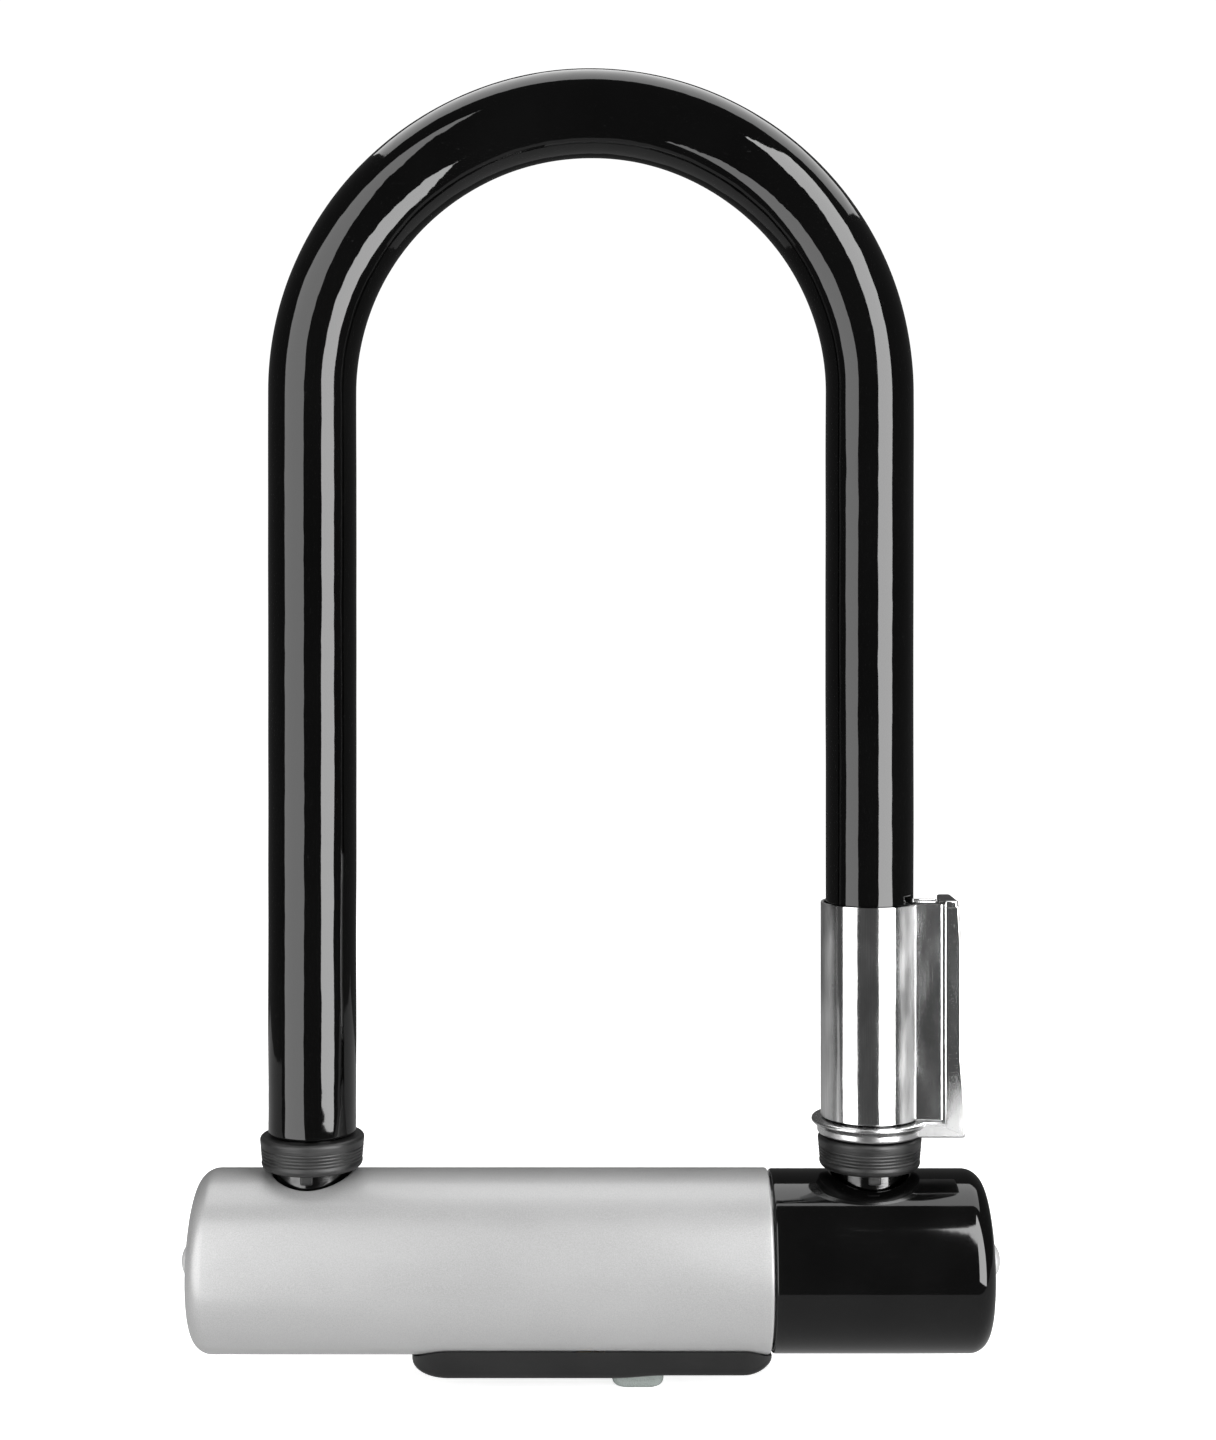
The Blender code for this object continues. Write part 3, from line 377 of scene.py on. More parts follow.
def plastic_surface(name, dark, pale, roughness, grain_depth):
    """Moulded plastic with a fine spark-eroded grain, slow shading and rubbed edges."""
    s = Surface(name)
    grain = s.grain(0.18 * MM, detail=3.0)
    slow = s.grain(5.0 * MM, (2.0, 1.0, 1.0), detail=3.0)
    colour = s.blend(s.between(slow, 0.0, 1.0), dark, pale)
    colour = s.blend(s.product(s.edge, 0.3), colour, tuple(min(1.0, value * 1.5) for value in pale))
    rough = s.maths("ADD", s.between(slow, roughness, roughness + 0.08), s.between(grain, -0.04, 0.04))
    s.relief((grain, grain_depth, 0.5), (slow, 0.15 * MM, 0.15))
    return s.finish(colour, rough)


def make_surfaces():
    """One finished material for each of the record's material slots."""
    return {
        "bare_steel": turned_surface("ground_steel", 0.50, 0.74),
        "hardened_tube": turned_surface("hardened_steel", 0.14, 0.26, smooth=0.28, dull=0.42),
        "dark_fastener": turned_surface("oxide_steel", 0.12, 0.24, smooth=0.26, dull=0.40),
        "lock_brass": brass_surface(),
        "black_coating": coating_surface(),
        "collar_rubber": rubber_surface(),
        "silver_shell": silver_surface(),
        "black_shell": black_shell_surface(),
        "polished_sleeve": sleeve_surface(),
        "bracket_metal": cast_surface(),
        "dust_cover_plastic": plastic_surface(
            "dark_moulded_plastic", (0.003,) * 3, (0.005,) * 3, 0.34, 0.02 * MM),
        "thumb_tab_plastic": plastic_surface(
            "pale_tab_plastic", (0.13, 0.148, 0.14), (0.18, 0.20, 0.19), 0.22, 0.008 * MM),
    }


# ---------------------------------------------------------------- mesh building
def bridge(bm, first, second):
    """Join two rings with faces; a ring may be a single point."""
    count = max(len(first), len(second))
    for i in range(count):
        j = (i + 1) % count
        corners = [first[i % len(first)], first[j % len(first)],
                   second[j % len(second)], second[i % len(second)]]
        bm.faces.new(list(dict.fromkeys(corners)))


def skin(bm, rings):
    for first, second in zip(rings, rings[1:]):
        bridge(bm, first, second)


def revolve(profile, sides):
    """Turn (radius, height) points about Z; the outline closes on itself unless it starts on the axis."""
    bm = bmesh.new()
    rings = []
    for radius, height in profile:
        count = sides if radius > 0.0 else 1
        turns = [2 * math.pi * i / count for i in range(count)]
        rings.append([bm.verts.new((radius * math.cos(a), radius * math.sin(a), height)) for a in turns])
    skin(bm, rings)
    if profile[0][0] > 0.0:
        bridge(bm, rings[-1], rings[0])
    return bm


def placed(bm, location=(0.0, 0.0, 0.0), along="Z"):
    """Lay a shape made about Z along another axis, then move it."""
    turns = {
        "-X": Matrix.Rotation(-QUARTER, 4, "Y"),
        "X": Matrix.Rotation(QUARTER, 4, "Y"),
        "Y": Matrix.Rotation(-QUARTER, 4, "X"),
        "-Z": Matrix.Rotation(math.pi, 4, "X"),
    }
    bm.transform(Matrix.Translation(location) @ turns.get(along, Matrix.Identity(4)))
    return bm


def arc(centre, radius, start, end, steps):
    angles = [start + (end - start) * i / steps for i in range(steps + 1)]
    return [(centre[0] + radius * math.cos(a), centre[1] + radius * math.sin(a)) for a in angles]


def rounded_outline(x_low, x_high, y_half, corner, steps=6):
    """Rectangle with rounded corners, as (x, y) points."""
    centres = [
        ((x_high - corner, y_half - corner), 0.0),
        ((x_low + corner, y_half - corner), QUARTER),
        ((x_low + corner, -y_half + corner), 2 * QUARTER),
        ((x_high - corner, -y_half + corner), 3 * QUARTER),
    ]
    points = []
    for centre, start in centres:
        points += arc(centre, corner, start, start + QUARTER, steps)
    return points


def loft(sections):
    """Solid through (height, outline) sections, capped at both ends."""
    bm = bmesh.new()
    rings = [[bm.verts.new((x, y, height)) for x, y in outline] for height, outline in sections]
    skin(bm, rings)
    bm.faces.new(rings[0])
    bm.faces.new(rings[-1])
    return bm


def block(low, high, corner, bottom, top=None, steps=4):
    """Block with rounded upright corners and rounded bottom and top edges, y about the middle."""
    turns = [QUARTER * i / steps for i in range(steps + 1)]
    ends = [(low[2], 1, bottom, a) for a in turns]
    ends += [(high[2], -1, bottom if top is None else top, a) for a in reversed(turns)]
    sections = []
    for height, inwards, edge, a in ends:
        inset = edge * (1 - math.sin(a))
        outline = rounded_outline(low[0] + inset, high[0] - inset, high[1] - inset, corner)
        sections.append((height + inwards * edge * (1 - math.cos(a)), outline))
    return loft(sections)


def temporary(bm):
    """Put a shape in the scene for as long as a boolean needs it."""
    bmesh.ops.recalc_face_normals(bm, faces=bm.faces)
    mesh = bpy.data.meshes.new("temporary")
    bm.to_mesh(mesh)
    bm.free()
    thing = bpy.data.objects.new("temporary", mesh)
    bpy.context.scene.collection.objects.link(thing)
    return thing


def combined(bm, operation, *shapes):
    """The shape after an exact boolean with each of the others."""
    base = temporary(bm)
    tools = [temporary(shape) for shape in shapes]
    for tool in tools:
        modifier = base.modifiers.new("combine", "BOOLEAN")
        modifier.operation = operation
        modifier.solver = "EXACT"
        modifier.object = tool
    bpy.context.view_layer.update()
    evaluated = base.evaluated_get(bpy.context.evaluated_depsgraph_get())
    result = bmesh.new()
    result.from_mesh(evaluated.to_mesh())
    evaluated.to_mesh_clear()
    for thing in [base, *tools]:
        mesh = thing.data
        bpy.data.objects.remove(thing)
        bpy.data.meshes.remove(mesh)
    return result


def ease_edges(bm, offset, angle=SHARP_ANGLE, segments=2):
    """Round every edge that turns outwards by more than an angle."""
    edges = [e for e in bm.edges if len(e.link_faces) == 2 and e.calc_face_angle_signed(0.0) > angle]
    bmesh.ops.bevel(bm, geom=edges, offset=offset, segments=segments, profile=0.5,
                    affect="EDGES", clamp_overlap=True)
    return bm


def mark_edges(bm):
    """Store how sharply the surface turns outwards at each point, for wear in the materials."""
    layer = bm.verts.layers.float.new("edge")
    for vert in bm.verts:
        turns = [edge.calc_face_angle_signed(0.0) for edge in vert.link_edges if len(edge.link_faces) == 2]
        sharpest = max(turns, default=0.0)
        vert[layer] = min(1.0, max(0.0, (sharpest - math.radians(8)) / math.radians(30)))


def weigh_normals(piece):
    """Let the larger faces lead the shading, so that flat faces stay flat beside rounded edges."""
    weigh = piece.modifiers.new("weigh", "WEIGHTED_NORMAL")
    weigh.keep_sharp = True
    bpy.context.view_layer.update()
    graph = bpy.context.evaluated_depsgraph_get()
    plain = piece.data
    name = plain.name
    weighed = bpy.data.meshes.new_from_object(
        piece.evaluated_get(graph), preserve_all_data_layers=True, depsgraph=graph)
    piece.modifiers.clear()
    piece.data = weighed
    bpy.data.meshes.remove(plain)
    weighed.name = name


def show(name, bm, body, slot, *nodes, finish=None):
    """Make a visible piece that rides on a body, takes its slot's or its own finish, and stands for nodes."""
    bm.transform(Matrix.Translation(AXIS))
    bmesh.ops.recalc_face_normals(bm, faces=bm.faces)
    mark_edges(bm)
    mesh = bpy.data.meshes.new(name)
    bm.to_mesh(mesh)
    bm.free()
    mesh.shade_smooth()
    mesh.set_sharp_from_angle(angle=SHARP_ANGLE)
    mesh.materials.append(finish or SURFACES[slot])
    piece = bpy.data.objects.new(name, mesh)
    bpy.context.scene.collection.objects.link(piece)
    weigh_normals(piece)
    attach(piece, body)
    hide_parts(*nodes)


# ---------------------------------------------------------------- shackle
def u_path(bottom, spacing, edge):
    """(centre, outward, height above the end) along the U, close together where its ends are rounded."""
    straight = ARCH_Z - bottom
    leg_steps = math.ceil((straight - edge) / spacing)
    arch_steps = math.ceil(math.pi * LEG_X / spacing)
    rises = [edge * (1 - math.cos(QUARTER * i / 4)) for i in range(4)]
    rises += [edge + (straight - edge) * i / leg_steps for i in range(leg_steps)]
    left = [(Vector((-LEG_X, 0.0, bottom + rise)), Vector((-1.0, 0.0, 0.0)), rise) for rise in rises]
    right = [(Vector((LEG_X, 0.0, bottom + rise)), Vector((1.0, 0.0, 0.0)), rise) for rise in rises[::-1]]
    arch = []
    for i in range(arch_steps + 1):
        a = math.pi * (1 - i / arch_steps)
        outward = Vector((math.cos(a), 0.0, math.sin(a)))
        arch.append((Vector((0.0, 0.0, ARCH_Z)) + outward * LEG_X, outward, straight))
    return left + arch + right


def eased(radius, rise, edge):
    """Radius of a rod at a height above its end, whose edge is rounded."""
    short = max(0.0, edge - rise)
    return radius - edge + math.sqrt(edge ** 2 - short ** 2)


def u_rings(bm, path, sides, radius_at):
    """Rings of points round the U; radius_at(point direction, centre, rise) gives each radius."""
    rings = []
    depth = Vector((0.0, 1.0, 0.0))
    for centre, outward, rise in path:
        ring = []
        for i in range(sides):
            a = 2 * math.pi * i / sides
            direction = outward * math.cos(a) + depth * math.sin(a)
            ring.append(bm.verts.new(centre + direction * radius_at(direction, centre, rise)))
        rings.append(ring)
    return rings


def coating_radius(direction, centre, rise):
    """Dipped coating: even on the whole, slightly wavy, and puckered just above the collars."""
    place = centre + direction * COATING_RADIUS
    slow = WAVE_DEPTH * noise.noise(place / WAVE_LENGTH)
    pucker = PUCKER_DEPTH * noise.noise(place / PUCKER_LENGTH) * math.exp(-rise / PUCKER_REACH)
    return eased(COATING_RADIUS, rise, COATING_LIP) + slow + pucker


def make_coating():
    bm = bmesh.new()
    path = u_path(COATING_LOW.z, COATING_SPACING, COATING_LIP)
    outer = u_rings(bm, path, COATING_SIDES, coating_radius)
    inner = u_rings(bm, path, COATING_SIDES, lambda direction, centre, rise: ROD_RADIUS + GAP)
    skin(bm, outer)
    skin(bm, inner)
    bridge(bm, outer[0], inner[0])
    bridge(bm, outer[-1], inner[-1])
    show("vinyl_coating", bm, "shackle", "black_coating", "shackle_coating")


def make_bar():
    """Round bar with a bolt notch on the inner side of each foot."""
    bm = bmesh.new()
    path = u_path(BAR_LOW.z, BAR_SPACING, FOOT_ROUND)
    rings = u_rings(bm, path, BAR_SIDES, lambda direction, centre, rise: eased(ROD_RADIUS, rise, FOOT_ROUND))
    skin(bm, rings)
    bm.faces.new(rings[0])
    bm.faces.new(rings[-1])
    inner_face = LEG_X - ROD_RADIUS
    notches = []
    for side in (-1, 1):
        near, far = sorted((side * (inner_face - ROD_RADIUS), side * (inner_face + NOTCH_DEPTH)))
        notch = block((near, -2 * ROD_RADIUS, -NOTCH_HALF_HEIGHT), (far, 2 * ROD_RADIUS, NOTCH_HALF_HEIGHT),
                      0.1 * MM, 0.6 * MM)
        notches.append(notch)
    bm = combined(bm, "DIFFERENCE", *notches)
    show("steel_bar", bm, "shackle", "bare_steel", "shackle_bar",
         finish=turned_surface("blackened_steel", 0.05, 0.09, smooth=0.08, dull=0.14))


def collar_profile():
    """Outline of a collar: a bead above, a ribbed waist that narrows downwards, and a rounded lip."""
    radius = COLLAR_HIGH.y
    low, high = COLLAR_LOW.z, COLLAR_HIGH.z
    bore = ROD_RADIUS + GAP
    step = (WAIST_HIGH - WAIST_LOW) / COLLAR_RIBS
    points = [(bore, low)]
    points += arc((radius - COLLAR_TAPER - COLLAR_LIP, low + COLLAR_LIP), COLLAR_LIP, -QUARTER, 0.0, 6)
    for i in range(COLLAR_RIBS):
        start = WAIST_LOW + step * i
        waist = radius - COLLAR_TAPER * (1 - i / COLLAR_RIBS)
        points += [
            (waist - RIB_CREST, start),
            (waist - RIB_GROOVE, start + 0.25 * step),
            (waist - RIB_GROOVE, start + 0.45 * step),
            (waist - RIB_CREST, start + 0.70 * step),
        ]
    points += arc((radius - COLLAR_BEAD, high - COLLAR_BEAD), COLLAR_BEAD, 0.0, QUARTER, 5)
    points.append((bore, high))
    return points


def make_collar(side, sign):
    """Rubber collar with a small moulded tongue below its front."""
    bm = placed(revolve(collar_profile(), COLLAR_SIDES), (sign * LEG_X, 0.0, 0.0))
    thick = TONGUE_THICKNESS / 2
    low, high = COLLAR_LOW.z - TONGUE_DROP, COLLAR_LOW.z + TONGUE_OVERLAP
    tongue = block((-TONGUE_HALF, -thick, low), (TONGUE_HALF, thick, high), 0.35 * MM, 0.3 * MM)
    tongue = placed(tongue, (sign * LEG_X, -ROD_RADIUS - GAP - thick - 0.05 * MM, 0.0))
    bm = combined(bm, "UNION", tongue)
    show(f"{side}_ribbed_collar", bm, "shackle", "collar_rubber", f"{side}_collar")


# ---------------------------------------------------------------- bracket
def make_bracket_sleeve():
    """Sheet wrapped round the leg; the ears it ends in are pressed a little thinner above their foot."""
    bm = bmesh.new()
    high = SLEEVE_HIGH.z
    levels = [
        (SLEEVE_LOW.z, 0.0), (EAR_FLAT_TOP, 0.0), (EAR_FLAT_TOP + MM, 0.6), (EAR_FLAT_TOP + 2.4 * MM, 1.0),
        (high - 3.0 * MM, 1.0), (high - 1.2 * MM, 0.3), (high, 0.0),
    ]
    rings = [[bm.verts.new((x, y, height)) for x, y in sleeve_outline(share)] for height, share in levels]
    skin(bm, rings)
    bm.faces.new(rings[0])
    bm.faces.new(rings[-1])
    bmesh.ops.recalc_face_normals(bm, faces=bm.faces)
    ease_edges(bm, 0.16 * MM)
    show("rolled_sleeve", placed(bm, LEG), "shackle", "polished_sleeve", "bracket_sleeve")


def sleeve_outline(recess_share):
    """Closed outline of the rolled sheet; recess_share from 0 to 1 is how deep the ears are pressed."""
    ear_inner = WING_HALF - EAR_THICKNESS
    outer_angle = math.asin(WING_HALF / SLEEVE_RADIUS)
    inner_angle = math.asin(ear_inner / SLEEVE_BORE)
    wrap = 2 * math.pi
    root = SLEEVE_RADIUS * math.cos(outer_angle)
    rear = ear_face(root, recess_share)
    outline = [(x, WING_HALF - dip) for x, dip in reversed(rear)]
    outline += arc((0.0, 0.0), SLEEVE_RADIUS, outer_angle, wrap - outer_angle, 96)
    outline += [(x, -WING_HALF + dip) for x, dip in rear]
    outline += [(WING_END, -ear_inner)]
    outline += arc((0.0, 0.0), SLEEVE_BORE, wrap - inner_angle, inner_angle, 96)
    outline += [(WING_END, ear_inner)]
    return outline


def ear_face(root, recess_share):
    """(x, dip) points across an ear, sinking to the recess just past its root."""
    points = []
    for i in range(1, EAR_CELLS + 1):
        along = i / EAR_CELLS
        dip = EAR_RECESS * recess_share * min(1.0, along / EAR_RAMP)
        points.append((root + (WING_END - root) * along, dip))
    return points


def make_bracket_carrier():
    """Base ring and flange, the web between the sleeve's ears, and the upright rail with its cap."""
    low, high, lip = CARRIER_LOW.z, CARRIER_HIGH.z, CARRIER_HIGH.y
    profile = [(SLEEVE_BORE, low)]
    profile += arc((RING_BAND_RADIUS - RING_SOFT, low + RING_SOFT), RING_SOFT, -QUARTER, 0.0, 4)
    profile.append((RING_BAND_RADIUS, RING_BAND_TOP))
    profile += arc((lip - RING_SOFT, RING_TOP - RING_SOFT), RING_SOFT, -0.6, QUARTER, 7)
    profile.append((SLEEVE_BORE, RING_TOP))
    ring = revolve(profile, COLLAR_SIDES)
    foot = block((FOOT_START, -RAIL_HALF, low), (FOOT_OUTER, RAIL_HALF, RING_TOP), RAIL_ROUND, RAIL_ROUND)
    flare = [(low + RAIL_ROUND, FOOT_OUTER - 0.05 * MM), *RAIL_FLARE, (RAIL_TOP - RAIL_ROUND, RAIL_TOP_OUTER),
             (RAIL_TOP, RAIL_TOP_OUTER - RAIL_ROUND)]
    rail = loft([(height, rounded_outline(RAIL_START, outer, RAIL_HALF, RAIL_ROUND))
                 for height, outer in flare])
    web = block((WEB_START, -WEB_HALF, RING_TOP - GAP),
                (RAIL_START + 0.8 * MM, WEB_HALF, SLEEVE_HIGH.z - GAP), 0.2 * MM, 0.2 * MM)
    cap = block((RAIL_START - 0.1 * MM, -RAIL_HALF, RAIL_TOP - 0.7 * MM),
                (RAIL_TOP_OUTER - 0.1 * MM, RAIL_HALF + GAP / 2, high), 0.5 * MM, 0.3 * MM)
    bore = revolve([(0.0, low - MM), (SLEEVE_BORE, low - MM), (SLEEVE_BORE, high), (0.0, high)], COLLAR_SIDES)
    bm = combined(ring, "UNION", foot, rail, web, cap)
    bm = combined(bm, "DIFFERENCE", bore)
    show("cast_carrier", placed(bm, LEG), "shackle", "bracket_metal", "bracket_carrier")


def make_bracket_screw(level):
    """Pan head screw with one straight slot, in through the rear ear to the web."""
    node = f"bracket_screw_{level}"
    low, high = extent(node)
    radius = (high.x - low.x) / 2
    seat = high.y - SCREW_HEAD
    profile = [(0.0, low.y), (SCREW_SHANK, low.y), (SCREW_SHANK, seat), (radius, seat)]
    profile += arc((radius - SCREW_ROUND, high.y - SCREW_ROUND), SCREW_ROUND, 0.0, QUARTER, 5)
    profile.append((0.0, high.y))
    bm = placed(revolve(profile, 48), along="Y")
    reach = 2 * radius
    slot = block((-SLOT_HALF, -reach, -SLOT_REACH), (SLOT_HALF, reach, SLOT_REACH), 0.05 * MM, 0.05 * MM)
    slot = placed(slot, (0.0, high.y - SLOT_DEPTH + reach, 0.0))
    bm = combined(bm, "DIFFERENCE", slot)
    centre = Vector(((low.x + high.x) / 2, 0.0, (low.z + high.z) / 2))
    show(f"pan_head_screw_{level}", placed(bm, centre), "shackle", "dark_fastener", node)


# ---------------------------------------------------------------- crossbar shells
class Hole:
    """Round upright hole through a shell, in a square of the shell's grid that is cut into cells."""

    def __init__(self, x, turn, radius, cells):
        self.x = x
        self.turn = turn
        self.radius = radius
        self.cells = cells
        self.reach = radius + HOLE_MARGIN
        self.middle_side = round(SHELL_SIDES * turn / (2 * math.pi))

    def covers(self, x, side):
        """Whether the grid face at this place along the shell, and after this side, is left out."""
        offset = (side - self.middle_side + SHELL_SIDES // 2) % SHELL_SIDES - SHELL_SIDES // 2
        return abs(x - self.x) < self.reach and -self.cells // 2 <= offset < self.cells // 2

    def square(self, grid, stations):
        """Grid points round the hole's square, starting at its low corner."""
        first = min(range(len(stations)), key=lambda i: abs(stations[i] - self.x + self.reach))
        last = first + self.cells
        left = self.middle_side - self.cells // 2
        right = left + self.cells
        places = [(i, left) for i in range(first, last)]
        places += [(last, j) for j in range(left, right)]
        places += [(i, right) for i in range(last, first, -1)]
        places += [(first, j) for j in range(right, left, -1)]
        return [grid[i][j % SHELL_SIDES] for i, j in places]

    def bearings(self):
        """Direction from the hole's middle to each of its points, matched to the square's points."""
        count = 4 * self.cells
        return [2 * math.pi * (i / count - 3 / 8) for i in range(count)]

    def ring(self, bm, shell_radius, hole_radius, drop=0.0):
        """Points on the shell at a distance from the hole's upright axis, lowered by drop."""
        points = []
        for bearing in self.bearings():
            across = hole_radius * math.sin(bearing)
            up = math.sqrt(shell_radius ** 2 - across ** 2) - drop
            points.append(self.point(bm, self.x + hole_radius * math.cos(bearing), across, up))
        return points

    def between(self, bm, square, shell_radius, hole_radius, share):
        """Points on the shell part of the way from the square to the hole."""
        points = []
        for vert, bearing in zip(square, self.bearings()):
            start = math.atan2(vert.co.y, vert.co.z) - self.turn
            start = (start + math.pi) % (2 * math.pi) - math.pi
            end = math.asin(hole_radius * math.sin(bearing) / shell_radius)
            x = vert.co.x + (self.x + hole_radius * math.cos(bearing) - vert.co.x) * share
            a = start + (end - start) * share
            points.append(self.point(bm, x, shell_radius * math.sin(a), shell_radius * math.cos(a)))
        return points

    def point(self, bm, x, across, up):
        cosine, sine = math.cos(self.turn), math.sin(self.turn)
        return bm.verts.new((x, across * cosine + up * sine, up * cosine - across * sine))


def spaced(start, end, spacing):
    """Even stations after start, up to and including end."""
    steps = math.ceil((end - start) / spacing)
    return [start + (end - start) * i / steps for i in range(1, steps + 1)]


def shell_outline(radius, start, end, holes):
    """Stations of a shell's straight part, its whole outline as (radius, x), and where straights begin."""
    corner_x = end - SHELL_DOME - SHELL_CORNER
    straight = [start + SEAM_ROUND]
    for hole in holes:
        straight += spaced(straight[-1], hole.x - hole.reach, SHELL_SPACING)
        straight += spaced(straight[-1], hole.x + hole.reach, 2 * hole.reach / hole.cells + 1e-9)
    straight += spaced(straight[-1], corner_x, SHELL_SPACING)
    seam = arc((radius - SEAM_ROUND, start + SEAM_ROUND), SEAM_ROUND, -QUARTER, 0.0, 4)[:-1]
    dome_edge = radius - SHELL_CORNER
    cap = arc((dome_edge, corner_x), SHELL_CORNER, 0.0, QUARTER, 12)[1:]
    for i in range(1, 9):
        r = dome_edge + (SHELL_HOLE - dome_edge) * i / 8
        cap.append((r, end - SHELL_DOME * (r / dome_edge) ** 2))
    inner_end = TUBE_HIGH.x + GAP
    inside = [(SHELL_HOLE, inner_end), (SHELL_INNER, inner_end)]
    outline = seam + [(radius, x) for x in straight] + cap + inside
    inner_first = len(outline)
    outline += [(SHELL_INNER, x) for x in reversed(straight)] + [(SHELL_INNER, start)]
    return straight, outline, len(seam), inner_first


def make_shell(name, node, slot, sign, start, radius, end, holes):
    """Thin round shell with one domed end; it is made about +X and mirrored for the other side."""
    straight, outline, outer_first, inner_first = shell_outline(radius, start, end, holes)
    bm = bmesh.new()
    turns = [2 * math.pi * j / SHELL_SIDES for j in range(SHELL_SIDES)]
    rings = [[bm.verts.new((x, r * math.sin(a), r * math.cos(a))) for a in turns] for r, x in outline]
    for i, ring in enumerate(rings):
        k = (i + 1) % len(rings)
        middle = (outline[i][1] + outline[k][1]) / 2
        level = abs(outline[i][0] - outline[k][0]) < 1e-9
        for j in range(SHELL_SIDES):
            if level and any(hole.covers(middle, j) for hole in holes):
                continue
            n = (j + 1) % SHELL_SIDES
            bm.faces.new((ring[j], ring[n], rings[k][n], rings[k][j]))
    count = len(straight)
    outer_grid = rings[outer_first:outer_first + count]
    inner_grid = rings[inner_first:inner_first + count][::-1]
    for hole in holes:
        outer_square = hole.square(outer_grid, straight)
        inner_square = hole.square(inner_grid, straight)
        skin(bm, hole_rings(bm, hole, radius, outer_square, inner_square))
    bm.transform(Matrix.Diagonal((sign, 1.0, 1.0, 1.0)))
    show(name, bm, "crossbar", slot, node)


def hole_rings(bm, hole, radius, outer_square, inner_square):
    """Rings from the outer square in to the hole, round its edge, down its wall and out underneath."""
    shares = (0.3, 0.6, 0.85, 1.0)
    wide = hole.radius + HOLE_ROUND
    rings = [outer_square]
    rings += [hole.between(bm, outer_square, radius, wide, share) for share in shares]
    for i in range(1, 6):
        a = QUARTER * i / 5
        distance = wide - HOLE_ROUND * math.sin(a)
        rings.append(hole.ring(bm, radius, distance, HOLE_ROUND * (1 - math.cos(a))))
    rings.append(hole.ring(bm, SHELL_INNER, hole.radius))
    inner = [hole.between(bm, inner_square, SHELL_INNER, hole.radius, share) for share in shares[:-1]]
    return rings + inner[::-1] + [inner_square]


def make_shells():
    foot = Hole(LEG_X, 0.0, FOOT_HOLE, FOOT_HOLE_CELLS)
    cylinder = Hole(0.0, math.pi, CYLINDER_HOLE, CYLINDER_HOLE_CELLS)
    make_shell("silver_barrel", "silver_sleeve", "silver_shell", -1.0,
               -SILVER_HIGH.x, SILVER_HIGH.y, -SILVER_LOW.x, [cylinder, foot])
    make_shell("black_end_cap", "black_end_sleeve", "black_shell", 1.0,
               BLACK_LOW.x, BLACK_HIGH.y, BLACK_HIGH.x, [foot])


def make_rivet(side, along, finish):
    """Domed rivet in the middle of a shell's end, painted over."""
    low, high = extent(f"{side}_end_rivet")
    tip, shank = max(-low.x, high.x), min(abs(low.x), abs(high.x))
    radius = high.y
    seat = BLACK_HIGH.x + GAP
    turns = [QUARTER * i / 8 for i in range(1, 9)]
    profile = [(0.0, tip)] + [(radius * math.sin(a), seat + (tip - seat) * math.cos(a)) for a in turns]
    profile += [(RIVET_SHANK, seat), (RIVET_SHANK, shank), (0.0, shank)]
    bm = placed(revolve(profile, 48), along=along)
    show(f"{side}_dome_rivet", bm, "crossbar", "bare_steel", f"{side}_end_rivet", finish=finish)


# ---------------------------------------------------------------- dust cover
def base_stations():
    """(x, depth, width) along the base: a long rounded left end, then a shallower right end."""
    left_start = BASE_LOW.x + BASE_LEFT_ROUND
    stations = []
    for i in range(13):
        a = QUARTER * (1 - i / 12)
        stations.append((left_start - BASE_LEFT_ROUND * math.sin(a), math.cos(a), math.cos(a)))
    stations += [(x, 1.0, 1.0) for x in spaced(left_start, BASE_FULL_END, BASE_SPACING)]
    for i in range(1, 9):
        share = i / 8
        depth = 1 - (1 - BASE_SHALLOW) * (1 - math.cos(math.pi * share)) / 2
        stations.append((BASE_FULL_END + (BASE_SHALLOW_START - BASE_FULL_END) * share, depth, 1.0))
    stations += [(x, BASE_SHALLOW, 1.0) for x in spaced(BASE_SHALLOW_START, BASE_TAPER_START, BASE_SPACING)]
    for i in range(1, 13):
        a = QUARTER * i / 12
        x = BASE_TAPER_START + (BASE_HIGH.x - BASE_TAPER_START) * math.sin(a)
        stations.append((x, BASE_SHALLOW * math.cos(a) ** 2, math.cos(a)))
    return stations


def base_section(depth, width):
    """(y, height) outline of the base: leaning sides, rounded lower corners and a flat underside."""
    bottom = BASE_LOW.z + BASE_RISE * (1 - depth)
    top_half, bottom_half = (
        narrow + (wide - narrow) * width for narrow, wide in (BASE_TOP_HALVES, BASE_BOTTOM_HALVES))
    half = [(top_half, BASE_TOP)]
    half += arc((bottom_half - BASE_CORNER / 2, bottom + BASE_CORNER), BASE_CORNER, 0.0, -QUARTER, 7)
    return half + [(-y, z) for y, z in reversed(half)]


